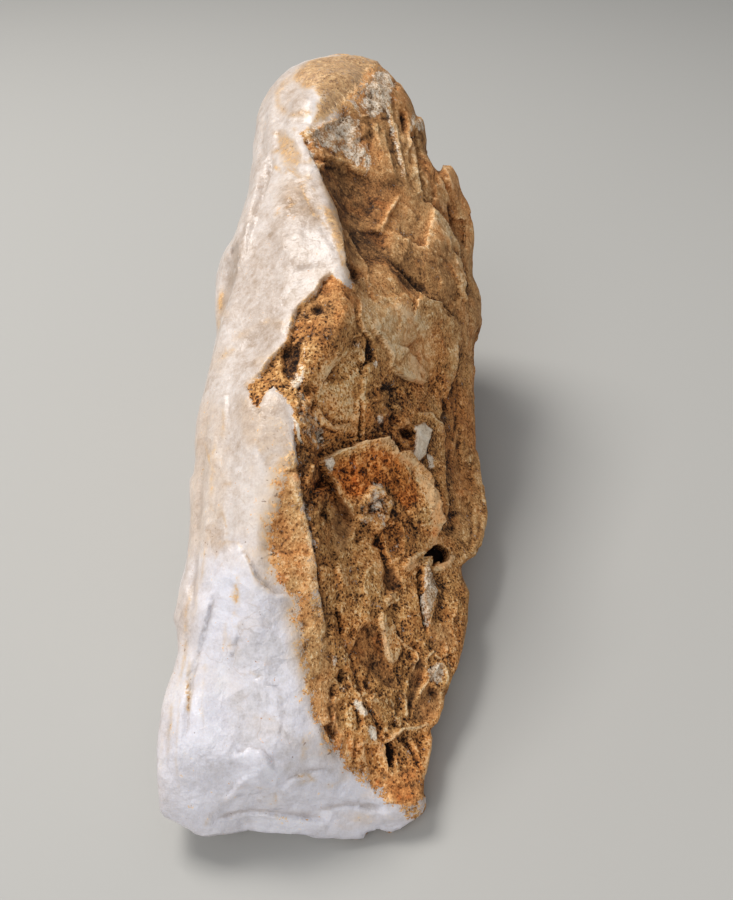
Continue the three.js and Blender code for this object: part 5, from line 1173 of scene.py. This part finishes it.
def quartz_material():
    m = bpy.data.materials.new('raw_quartz_stone')
    m.use_nodes = True
    N = Net(m.node_tree)
    out = N.node('ShaderNodeOutputMaterial')
    bs = N.node('ShaderNodeBsdfPrincipled')
    N.t.links.new(bs.outputs[0], out.inputs[0])
    tc = N.node('ShaderNodeTexCoord')
    sc = N.node('ShaderNodeVectorMath', operation='SCALE')
    N.t.links.new(tc.outputs['Object'], sc.inputs[0])
    sc.inputs['Scale'].default_value = 1000.0
    P = sc.outputs[0]
    A = {k: N.attr(k) for k in ('crust', 'stain', 'dark', 'pale', 'rust', 'grey', 'white', 'cool', 'light', 'pit', 'dip', 'coarse', 'crk')}

    g = N.sub(N.noise(P, 0.42, 2.0, 0.6, 1.3), 0.5)         # grain
    f = N.sub(N.noise(P, 1.5, 3.0, 0.62, 2.1), 0.5)         # fine
    mm = N.sub(N.noise(P, 4.5, 3.0, 0.6, 3.7), 0.5)
    b = N.sub(N.noise(P, 15.0, 3.0, 0.55, 5.9), 0.5)
    c2 = N.sub(N.noise(P, 2.6, 3.0, 0.6, 7.7), 0.5)
    c3 = N.sub(N.noise(P, 8.0, 3.0, 0.6, 9.1), 0.5)

    # where the crust is, with a crumbly edge
    cr = N.add(A['crust'], N.add(N.mul(f, 1.6), N.add(N.mul(g, 1.4), N.mul(mm, 0.9))))
    cr = N.step(cr, 0.40, 0.60)

    # ---------- crust colour
    Pw = N_warp(N, P, 0.6, 0.22, 0.0)
    v1 = N.voro(Pw, 0.62)
    s1 = N.node('ShaderNodeSeparateColor')
    N.t.links.new(v1.outputs['Color'], s1.inputs[0])
    v2 = N.voro(Pw, 1.35)
    s2 = N.node('ShaderNodeSeparateColor')
    N.t.links.new(v2.outputs['Color'], s2.inputs[0])
    cellr = N.sub(s1.outputs[1], 0.5)
    cellb = N.sub(s2.outputs[0], 0.5)
    gran = N.add(N.mul(cellr, 0.16), N.add(N.mul(g, 0.8), N.mul(cellb, 0.08)))
    t = N.add(0.71, N.add(N.mul(mm, 0.34), N.mul(f, 0.40)))
    t = N.add(t, N.mul(gran, N.lerp(A['coarse'], 0.65, 1.25)))
    t = N.add(t, N.add(N.mul(b, 0.26), N.mul(c3, 0.32)))
    # lighter and darker tone from the light map, with its painted shade on shaded faces and in hollows
    t = N.add(t, N.mul(A['light'], 0.09))
    # painted shade in hollows, slits and pits, and the crust's own darker spots
    t = N.sub(t, N.mul(A['dark'], 0.30))
    t = N.sub(t, N.mul(A['pit'], 0.15))                     # painted shade in hollows and painted highlight on edges: the value is + in hollows, - on edges
    # painted shade in the broad hollows
    t = N.sub(t, N.mul(A['dip'], 0.07))
    # pin-holes: dark specks on a lighter ground, thick in some places and thin in others
    dn = N.add(N.add(N.mul(A['coarse'], 0.055), N.mul(A['rust'], 0.06)), N.add(N.mul(c3, 0.16), N.add(N.mul(A['pit'], 0.06), N.mul(A['light'], -0.016))))
    r1 = N.add(0.10, N.add(N.mul(s1.outputs[0], 0.34), N.add(N.mul(dn, 2.0), N.mul(mm, 0.35))))
    hole = N.step(N.sub(r1, v1.outputs['Distance']), -0.10, 0.12)
    t = N.sub(t, N.mul(hole, N.lerp(A['coarse'], 0.12, 0.36)))
    fleck = N.step(N.sub(N.add(0.06, N.mul(s2.outputs[1], 0.36)), v2.outputs['Distance']), -0.04, 0.12)
    t = N.add(t, N.mul(fleck, 0.18))
    ck = N.mul(A['crk'], N.step(N.add(N.noise(P, 3.0, 2.0, 0.5, 41.0), 0.0), 0.42, 0.58))
    t = N.sub(t, N.mul(ck, 0.26))
    # painted highlight along raised rims and edges, partly their own paler colour
    edge = N.step(N.add(A['pale'], N.add(N.mul(f, 1.0), N.mul(g, 0.8))), 0.34, 0.80)
    t = N.add(t, N.mul(edge, 0.24))
    # deeper painted shade where the dark map is strongest, in slits and pits
    t = N.sub(t, N.mul(N.step(A['dark'], 0.82, 1.0), 0.30))
    brown = N.ramp(t, [(0.0, (26, 15, 9)), (0.16, (60, 36, 19)), (0.34, (104, 67, 35)), (0.5, (150, 103, 57)),
                       (0.66, (184, 129, 73)), (0.82, (208, 155, 94)), (0.95, (226, 182, 124)), (1.0, (236, 204, 158))])
    calm = N.ramp(t, [(0.0, (34, 24, 16)), (0.16, (66, 46, 30)), (0.34, (106, 76, 49)), (0.5, (148, 109, 71)), (0.66, (180, 138, 94)), (0.82, (206, 168, 124)), (0.95, (226, 195, 154)), (1.0, (238, 212, 176))])
    brown = N.mix(N.mul(N.sub(1.0, A['coarse']), 0.5), brown, calm)
    pale_rim_highlight_col = N.ramp(A['pale'], [(0.35, (208, 158, 100)), (0.95, (238, 210, 168))])
    brown = N.mix(N.mul(edge, 0.55), brown, pale_rim_highlight_col)
    hue = N.step(N.add(0.5, N.add(N.mul(b, 1.2), N.mul(c3, 1.3))), 0.35, 0.75)
    brown = N.mix(N.mul(hue, 0.45), brown, N.mix(1.0, brown, lin((255, 205, 150)), 'MULTIPLY'))
    rs = N.step(N.add(A['rust'], N.add(N.mul(c2, 0.9), N.mul(g, 0.3))), 0.35, 0.85)
    brown = N.mix(N.mul(rs, 0.75), brown, N.mix(1.0, brown, lin((255, 206, 148)), 'MULTIPLY'))
    red = N.step(N.add(c2, N.mul(b, 0.6)), 0.12, 0.3)
    brown = N.mix(N.mul(red, 0.3), brown, N.mix(1.0, brown, lin((255, 190, 140)), 'MULTIPLY'))
    # grey granular quartz showing in the crust
    gg = N.step(N.add(A['grey'], N.add(N.mul(f, 1.5), N.add(N.mul(g, 0.8), N.mul(mm, 1.0)))), 0.42, 0.85)
    gcol = N.ramp(N.add(N.lerp(A['coarse'], 0.62, 0.54), N.add(N.mul(g, 1.5), N.add(N.mul(f, 1.4), N.mul(mm, 0.8)))), [(0.1, (60, 44, 31)), (0.3, (126, 98, 72)), (0.5, (184, 156, 126)), (0.7, (214, 194, 170)), (0.9, (234, 224, 208))])
    brown = N.mix(N.mul(gg, 0.8), brown, gcol)
    wq = N.step(N.add(A['white'], N.add(N.mul(f, 1.3), N.add(N.mul(g, 0.9), N.mul(mm, 0.5)))), 0.40, 0.84)
    wcol = N.ramp(N.add(0.5, N.add(N.mul(g, 0.7), N.mul(c2, 0.9))), [(0.1, (186, 154, 122)), (0.45, (236, 216, 190)), (0.8, (250, 238, 222))])
    brown = N.mix(wq, brown, wcol)

    # ---------- white quartz
    Pc = N_warp(N, P, 6.0, 2.3, 1.0)
    ca, ha = chips(N, Pc, 9.0)
    cb, hb = chips(N, Pc, 3.2)
    v = N.add(0.5, N.add(N.mul(mm, 0.34), N.add(N.mul(f, 0.50), N.add(N.mul(g, 0.30), N.mul(b, 0.35)))))
    ma = N.step(c3, -0.06, 0.14)                            # chips show here and there only
    mb = N.step(N.sub(c2, N.mul(c3, 0.4)), 0.0, 0.16)
    ca, cb = N.mul(ca, ma), N.mul(cb, mb)
    # chip tones, and tone from the light map, with its painted shade on the white's shaded left band
    v = N.add(v, N.add(N.mul(ca, 0.16), N.add(N.mul(cb, 0.20), N.mul(A['light'], 0.10))))
    wh = N.ramp(v, [(0.18, (160, 137, 116)), (0.36, (186, 168, 154)), (0.5, (202, 188, 178)), (0.64, (215, 204, 197)), (0.85, (228, 220, 216))])
    co = N.ramp(v, [(0.18, (176, 170, 171)), (0.36, (197, 192, 195)), (0.5, (208, 204, 210)), (0.64, (216, 213, 219)), (0.85, (227, 225, 230))])
    wh = N.mix(A['cool'], wh, co)
    # faint cream clouds, hairlines and pin-point specks
    cl = N.step(N.add(c3, N.mul(b, 0.8)), 0.0, 0.36)
    wh = N.mix(N.mul(cl, 0.35), wh, N.mix(1.0, wh, lin((244, 228, 204)), 'MULTIPLY'))
    vr = N.math('ABSOLUTE', N.add(N.sub(b, 0.05), N.mul(f, 0.05)))
    hair = N.mul(N.step(vr, 0.007, 0.0), N.step(c3, -0.02, 0.12))
    wh = N.mix(N.mul(hair, 0.26), wh, lin((160, 130, 100)))
    spk = N.step(N.add(N.noise(P, 0.8, 2.0, 0.5, 12.5), N.add(N.mul(c3, 0.25), N.mul(A['stain'], 0.16))), 0.75, 0.83)
    haze = N.step(N.add(A['stain'], N.add(N.mul(f, 0.5), N.mul(mm, 0.5))), 0.05, 0.8)
    wh = N.mix(N.mul(haze, 0.72), wh, N.mix(1.0, wh, lin((240, 214, 172)), 'MULTIPLY'))
    st = N.step(N.add(A['stain'], N.add(N.mul(f, 1.3), N.add(N.mul(g, 0.9), N.mul(mm, 0.6)))), 0.54, 0.92)
    scol = N.ramp(N.add(0.5, N.add(N.mul(f, 1.0), N.mul(gran, 0.9))), [(0.1, (100, 66, 38)), (0.35, (160, 116, 70)), (0.6, (204, 162, 112)), (0.9, (228, 198, 152))])
    wh = N.mix(N.mul(st, 0.95), wh, scol)
    wh = N.mix(N.mul(spk, 0.75), wh, lin((112, 78, 48)))
    # painted shade in the hollows of the white quartz
    white_hollow_shade = N.step(A['pit'], 0.10, 0.8)
    wh = N.mix(N.mul(white_hollow_shade, 0.40), wh, lin((150, 130, 112)))

    col = N.mix(cr, wh, brown)
    N.put(bs.inputs['Base Color'], col)
    rough = N.lerp(cr, N.add(0.38, N.mul(f, 0.25)), N.add(0.86, N.mul(g, 0.2)))
    N.put(bs.inputs['Specular IOR Level'], N.lerp(cr, 0.5, 0.18))
    N.put(bs.inputs['Roughness'], rough)
    bs.inputs['IOR'].default_value = 1.54
    return m, N, bs, P, dict(ha=ha, hb=hb, cr=cr, crust=A['crust'], cool=A['cool'], d1=v1.outputs['Distance'])


def chips(N, P, size):
    """Flat-faced chips with sharp creases between them: a tone for each one (centred on 0) and a height in mm."""
    vn = N.voro(P, size)
    vn.distance = 'CHEBYCHEV'
    sp = N.node('ShaderNodeSeparateColor')
    N.t.links.new(vn.outputs['Color'], sp.inputs[0])
    return N.sub(sp.outputs[0], 0.5), N.mul(vn.outputs['Distance'], size)


def N_warp(N, P, size, amt, detail):
    n = N.node('ShaderNodeTexNoise')
    N.put(n.inputs['Vector'], P)
    n.inputs['Scale'].default_value = 1.0 / size
    n.inputs['Detail'].default_value = detail
    s = N.node('ShaderNodeVectorMath', operation='SUBTRACT')
    N.t.links.new(n.outputs['Color'], s.inputs[0])
    s.inputs[1].default_value = (0.5, 0.5, 0.5)
    k = N.node('ShaderNodeVectorMath', operation='SCALE')
    N.t.links.new(s.outputs[0], k.inputs[0])
    k.inputs['Scale'].default_value = amt * 2
    a = N.node('ShaderNodeVectorMath', operation='ADD')
    N.t.links.new(P, a.inputs[0])
    N.t.links.new(k.outputs[0], a.inputs[1])
    return a.outputs[0]


def finish_material(N, bs, P, q):
    # fine surface: grains and crumbs on the crust, slight waviness on the white
    gr = N.noise(P, 0.42, 2.0, 0.6, 21.0)
    fi = N.noise(P, 1.3, 3.0, 0.65, 23.0)
    gb = q['d1']
    hole = N.step(N.sub(0.30, gb), -0.10, 0.12)
    hc = N.add(N.mul(gr, 0.20), N.sub(N.mul(fi, 0.26), N.add(N.mul(gb, 0.14), N.mul(hole, 0.20))))
    hw = N.add(N.mul(gr, 0.07), N.add(N.mul(N.noise(P, 2.6, 3.0, 0.65, 25.0), 0.24), N.mul(N.noise(P, 7.0, 2.0, 0.5, 27.0), 0.25)))
    hw = N.add(hw, N.mul(N.add(N.mul(q['ha'], 0.075), N.mul(q['hb'], 0.10)), N.lerp(q['cool'], 0.45, 1.0)))
    h = N.lerp(N.step(q['crust'], 0.30, 0.70), hw, N.add(hc, 0.42))
    bp = N.node('ShaderNodeBump')
    bp.inputs['Strength'].default_value = 1.0
    bp.inputs['Distance'].default_value = 0.001
    N.put(bp.inputs['Height'], h)
    N.t.links.new(bp.outputs[0], bs.inputs['Normal'])
    N.put(bs.inputs['Subsurface Weight'], N.lerp(q['cr'], 0.24, 0.0))
    bs.inputs['Subsurface Radius'].default_value = (1.0, 0.85, 0.7)
    bs.inputs['Subsurface Scale'].default_value = 0.0022


# ---------------------------------------------------------------------- build
def world_mm(co):
    """Stone frame in metres back to the working frame in millimetres."""
    return co[:, 0] * 1000 + CX, co[:, 1] * 1000 + CY, co[:, 2] * 1000


def sample(F, ax, x, y, z):
    """Trilinear look-up in a field."""
    t = [(np.clip((q - a[0]) / (a[1] - a[0]), 0, len(a) - 1.001)) for q, a in zip((x, y, z), ax)]
    i = [q.astype(np.int32) for q in t]
    f = [(q - k).astype(np.float32) for q, k in zip(t, i)]
    r = 0
    for a in (0, 1):
        for b in (0, 1):
            for c in (0, 1):
                w = (f[0] if a else 1 - f[0]) * (f[1] if b else 1 - f[1]) * (f[2] if c else 1 - f[2])
                r = r + w * F[i[0] + a, i[1] + b, i[2] + c]
    return r


def mesh_from(name, V, faces):
    me = bpy.data.meshes.new(name)
    n = len(faces)
    w = faces.shape[1]
    me.vertices.add(len(V))
    me.vertices.foreach_set('co', np.ascontiguousarray(V, np.float32).ravel())
    me.loops.add(n * w)
    me.loops.foreach_set('vertex_index', np.ascontiguousarray(faces, np.int32).ravel())
    me.polygons.add(n)
    me.polygons.foreach_set('loop_start', np.arange(0, n * w, w, dtype=np.int32))
    me.update(calc_edges=True)
    return me


def split_triangles(V, T, mark):
    """Halves every edge of the marked triangles and keeps the mesh closed."""
    E = np.sort(np.stack([T, np.roll(T, -1, 1)], 2).reshape(-1, 2), 1)
    key = E[:, 0].astype(np.int64) * len(V) + E[:, 1]
    uk, first, inv = np.unique(key, return_index=True, return_inverse=True)
    inv = inv.reshape(-1, 3)
    on = np.zeros(len(uk), bool)
    on[inv[mark].ravel()] = True
    mid = np.full(len(uk), -1, np.int64)
    mid[on] = len(V) + np.arange(on.sum())
    ee = E[first[on]]
    V2 = np.concatenate([V, 0.5 * (V[ee[:, 0]] + V[ee[:, 1]])])
    f = on[inv]
    cnt = f.sum(1)
    out = [T[cnt == 0]]
    m = mid[inv]
    k = cnt == 3
    a, b, c = T[k].T
    m0, m1, m2 = m[k].T
    out += [np.stack(q, 1) for q in ((a, m0, m2), (m0, b, m1), (m2, m1, c), (m0, m1, m2))]
    for r in range(3):
        Tr, mr, fr = np.roll(T, -r, 1), np.roll(m, -r, 1), np.roll(f, -r, 1)
        k = (cnt == 1) & fr[:, 0]
        a, b, c = Tr[k].T
        m0 = mr[k][:, 0]
        out += [np.stack(q, 1) for q in ((a, m0, c), (m0, b, c))]
        k = (cnt == 2) & ~fr[:, 2]
        a, b, c = Tr[k].T
        m0, m1 = mr[k][:, 0], mr[k][:, 1]
        out += [np.stack(q, 1) for q in ((a, m0, c), (m0, m1, c), (m0, b, m1))]
    return V2, np.concatenate(out)


def normals(V, T):
    n = np.zeros_like(V)
    c = np.cross(V[T[:, 1]] - V[T[:, 0]], V[T[:, 2]] - V[T[:, 0]])
    for k in range(3):
        np.add.at(n, T[:, k], c)
    return n / (np.linalg.norm(n, axis=1, keepdims=True) + 1e-12)


def build_stone(h, first, budget):
    maps = draw_maps()
    om = Map()
    U, Vv = np.meshgrid(np.arange(MW, dtype=np.float32), np.arange(MH, dtype=np.float32))
    om.a = -Map.inside(U, Vv, OUTLINE).astype(np.float32)
    maps['out'] = om
    F, ax = solve(h, maps)
    V, Q = skin(F, ax)
    me = mesh_from('raw_quartz_skin', V / 1000.0, Q)
    ob = bpy.data.objects.new('raw_quartz_stone', me)
    bpy.context.scene.collection.objects.link(ob)
    # hollows and edges: how far the surface lies from its own average, at two sizes
    Fc = np.clip(F, -4, 4)
    s1 = smooth3(Fc, 0.9 / h)
    s2 = smooth3(Fc, 2.6 / h)
    G2 = [q.astype(np.float32) for q in np.gradient(s2, h)]

    def facing(x, d, z):
        g = [sample(q, ax, x, d, z) for q in G2]
        gl = np.sqrt(sum(q * q for q in g)) + 1e-6
        vx, vy, vz = -x, -d, EYE_H - z
        vl = np.sqrt(vx * vx + vy * vy + vz * vz)
        return (g[0] * vx + g[1] * vy + g[2] * vz) / (gl * vl), [q / gl for q in g]

    gy, gx = np.gradient(maps['stain'].a)
    spot = Map()
    wy, wx = np.gradient(maps['W'].a)
    spot.a = np.maximum(0.6 * sstep(0.05, 0.12, np.sqrt(gx * gx + gy * gy)), 0.5 * sstep(0.02, 0.05, np.sqrt(wx * wx + wy * wy))).astype(np.float32)

    def need(x, d, z):
        """1 where the crust is seen and wants small triangles."""
        u, v, s = project(x, d, z)
        fc, _ = facing(x, d, z)
        return np.maximum(maps['crust'].at(u, v), spot.at(u, v)) * sstep(0.0, 0.15, fc), u, v

    md = ob.modifiers.new('thin', 'DECIMATE')
    md.ratio = first / (2.0 * len(Q))
    dg = bpy.context.evaluated_depsgraph_get()
    new = bpy.data.meshes.new_from_object(ob.evaluated_get(dg))
    n = len(new.vertices)
    V = np.zeros(n * 3, np.float32)
    new.vertices.foreach_get('co', V)
    V = V.reshape(-1, 3).astype(np.float64) * 1000.0
    new.calc_loop_triangles()
    T = np.zeros(len(new.loop_triangles) * 3, np.int32)
    new.loop_triangles.foreach_get('vertices', T)
    T = T.reshape(-1, 3).astype(np.int64)
    bpy.data.objects.remove(ob)
    bpy.data.meshes.remove(me)
    bpy.data.meshes.remove(new)
    print('thinned to', len(T))

    # finer triangles where the crust is seen, finest along its sharp edges
    fine = maps['fine']
    gy, gx = np.gradient(fine.a)
    sharp = Map()
    sharp.a = np.sqrt(gx * gx + gy * gy)
    for level in range(3):
        c = V[T].mean(1)
        nd, u, v = need(c[:, 0], c[:, 1], c[:, 2])
        e = np.linalg.norm(V[T[:, 1]] - V[T[:, 0]], axis=1) + np.linalg.norm(V[T[:, 2]] - V[T[:, 1]], axis=1)
        score = np.where(nd > 0.35, (0.25 + sharp.at(u, v)) * (e / (2 * h)) ** 1.5, 0)
        room = budget - len(T)
        k = int(room / (4.2 if level == 2 else 5.6))
        if k < 50:
            break
        cutoff = np.sort(score)[-min(k, len(score) - 1)]
        mark = score > max(cutoff, 0.02)
        if level == 0:
            big = np.where((nd > 0.35) & (e > 0.8 * h), 0.05 + score, 0)
            k = min(int(room * .9 / 3.4), int((big > 0).sum()))
            mark = big > 0
            if k < mark.sum():
                mark = big > np.sort(big)[-k]
        n0 = len(V)
        V, T2 = split_triangles(V, T, mark)
        if len(T2) > budget:
            V = V[:n0]
            break
        T = T2
        # new points go onto the surface
        q = V[n0:]
        fv = sample(F, ax, *q.T)
        _, g = facing(*q.T)
        V[n0:] = q - np.clip(fv, -.25, .25)[:, None] * np.stack(g, 1) * (q[:, 2] > 0.3)[:, None]
        print('level', level, len(T))

    x, d, z = V.T
    u, v, s = project(x, d, z)
    fc, g = facing(x, d, z)
    seen = sstep(-0.02, 0.12, fc)
    deep = sstep(0.0, 0.25, fc)
    hid = 1 - seen
    crust = maps['crust'].at(u, v) * seen + far_crust(x, d, z) * hid
    o = maps['out'].at(u, v) * s / FPX
    inner = 0.25 + 0.75 * sstep(0.0, 2.5, -o)
    strip = maps['strip'].at(u, v) * seen
    coarse = (sstep(230, 400, v) * seen + 0.8 * hid) * (1 - 0.45 * strip) * (1 - 0.8 * maps['smooth'].at(u, v) * seen)
    t3, r3, g3 = facets(x, d, z, 151, 1.7)
    crumb = (t3 * 0.16 + 0.07 * fbm(x, d, z, 201, 1.6, 2) + 0.05 * fbm(x, d, z, 205, 0.8, 1)) * (0.5 + 0.9 * coarse)
    move = fine.at(u, v) * deep * inner + crumb * crust * inner + 0.012 * fbm(x, d, z, 207, 2.0, 2) * (1 - crust)
    move = np.where(z < 0.35, 0, move)
    V = V + np.stack(g, 1) * move[:, None]
    V[:, 2] = np.maximum(V[:, 2], 0)
    V[z < 0.05, 2] = 0.0

    W = np.stack([V[:, 0] - CX, V[:, 1] - CY, V[:, 2]], 1) / 1000.0
    me = mesh_from('raw_quartz_stone', W, T)
    ob = bpy.data.objects.new('raw_quartz_stone', me)
    bpy.context.scene.collection.objects.link(ob)
    x, d, z = V.T
    p1 = sample(s1, ax, x, d, z) + 0.0
    p2 = sample(s2, ax, x, d, z)
    far = far_maps(x, d, z, crust)
    vals = dict(crust=crust, coarse=coarse)
    for k in ('stain', 'dark', 'pale', 'rust', 'grey', 'white', 'cool', 'light'):
        vals[k] = maps[k].at(u, v) * seen + far[k] * hid
    # painted shade in hollows and painted highlight on edges, from how far the surface lies from its smoothed self
    vals['pit'] = np.clip(-p1 * 2.2, -1, 1)
    vals['dip'] = np.clip(-p2 * 0.9, -1, 1)
    wx, wz = x + 1.6 * fbm(x, d, z, 41, 8, 2), z + 1.6 * fbm(x, d, z, 45, 8, 2)
    g1 = facets(wx, d * 0.62, wz, 61, 13.0)[2]
    g2 = facets(wx, d * 0.8, wz, 81, 5.6)[2]
    vals['crk'] = np.maximum(1 - sstep(0.0, 0.05, g1), 0.8 * (1 - sstep(0.0, 0.10, g2)))
    for k, q in vals.items():
        a = me.attributes.new(k, 'FLOAT', 'POINT')
        a.data.foreach_set('value', np.ascontiguousarray(q, np.float32))
    me.polygons.foreach_set('use_smooth', np.ones(len(me.polygons), bool))
    me.update()
    print('stone:', len(V), 'points', len(T), 'triangles')
    return ob


def far_maps(x, d, z, crust):
    """Colour masks for the faces that the flat maps don't cover."""
    a = fbm(x, d, z, 401, 14, 3)
    b = fbm(x, d, z, 411, 7, 3)
    c = fbm(x, d, z, 421, 20, 2)
    edge = np.exp(-(x + 1.5) ** 2 / 30)
    return dict(stain=np.clip(0.10 + 0.9 * sstep(0.15, 0.6, a) + 0.5 * edge, 0, 1) * (1 - crust),
                dark=sstep(0.05, 0.5, b) * 0.7, pale=sstep(0.1, 0.45, -b) * 0.35, rust=sstep(0.05, 0.5, a) * 0.8,
                grey=sstep(0.25, 0.5, c) * 0.8, white=sstep(0.42, 0.55, fbm(x, d, z, 431, 9, 2)) * 0.9,
                cool=sstep(60, 10, z) * sstep(200, 120, d) * 0.8, light=sstep(-0.2, 0.4, c))


# --------------------------------------------------------------------- scene
def scene_all():
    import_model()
    ob = build_stone(0.7, 82000, 196000)
    mat, N, bs, P, q = quartz_material()
    finish_material(N, bs, P, q)
    ob.data.materials.clear()
    ob.data.materials.append(mat)
    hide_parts('raw_quartz')
    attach(ob, 'root')

    # floor
    sz = 3.0
    fm = bpy.data.meshes.new('floor')
    fm.from_pydata([(-sz, -sz, 0), (sz, -sz, 0), (sz, sz, 0), (-sz, sz, 0)], [], [(0, 1, 2, 3)])
    floor = bpy.data.objects.new('floor', fm)
    bpy.context.scene.collection.objects.link(floor)
    mt = bpy.data.materials.new('floor')
    mt.use_nodes = True
    fb = mt.node_tree.nodes['Principled BSDF']
    fb.inputs['Base Color'].default_value = (*lin((176, 174, 170)), 1)
    fb.inputs['Roughness'].default_value = 0.9
    fb.inputs['Specular IOR Level'].default_value = 0.1
    fm.materials.append(mt)

    # light
    w = bpy.data.worlds.new('world')
    bpy.context.scene.world = w
    w.use_nodes = True
    bg = w.node_tree.nodes['Background']
    bg.inputs[0].default_value = (0.95, 0.975, 1.0, 1)
    bg.inputs[1].default_value = 0.34

    def area(name, loc, target, size, power, col=(1, 1, 1)):
        L = bpy.data.lights.new(name, 'AREA')
        L.shape = 'SQUARE'
        L.size = size
        L.energy = power
        L.color = col
        o = bpy.data.objects.new(name, L)
        o.location = loc
        o.rotation_euler = (Vector(target) - Vector(loc)).to_track_quat('-Z', 'Y').to_euler()
        bpy.context.scene.collection.objects.link(o)
        return o
    area('key', (-0.42, 0.26, 0.90), (0, 0, 0.04), 0.40, 8.7, (1.0, 0.985, 0.96))
    area('fill', (-0.25, -0.75, 0.55), (0, -0.03, 0.04), 0.8, 4.9, (0.97, 0.985, 1.0))

    # camera
    cam = bpy.data.cameras.new('cam')
    cam.sensor_width = 36.0
    cam.lens = FPX * 36.0 / 900.0
    cam.clip_start = 0.01
    co = bpy.data.objects.new('cam', cam)
    co.location = (-CX / 1000, -CY / 1000, EYE_H / 1000)
    co.rotation_euler = (math.pi / 2 - PITCH, 0, 0)
    bpy.context.scene.collection.objects.link(co)
    bpy.context.scene.camera = co
    vs = bpy.context.scene.view_settings
    vs.view_transform = 'Standard'
    vs.look = 'None'


scene_all()
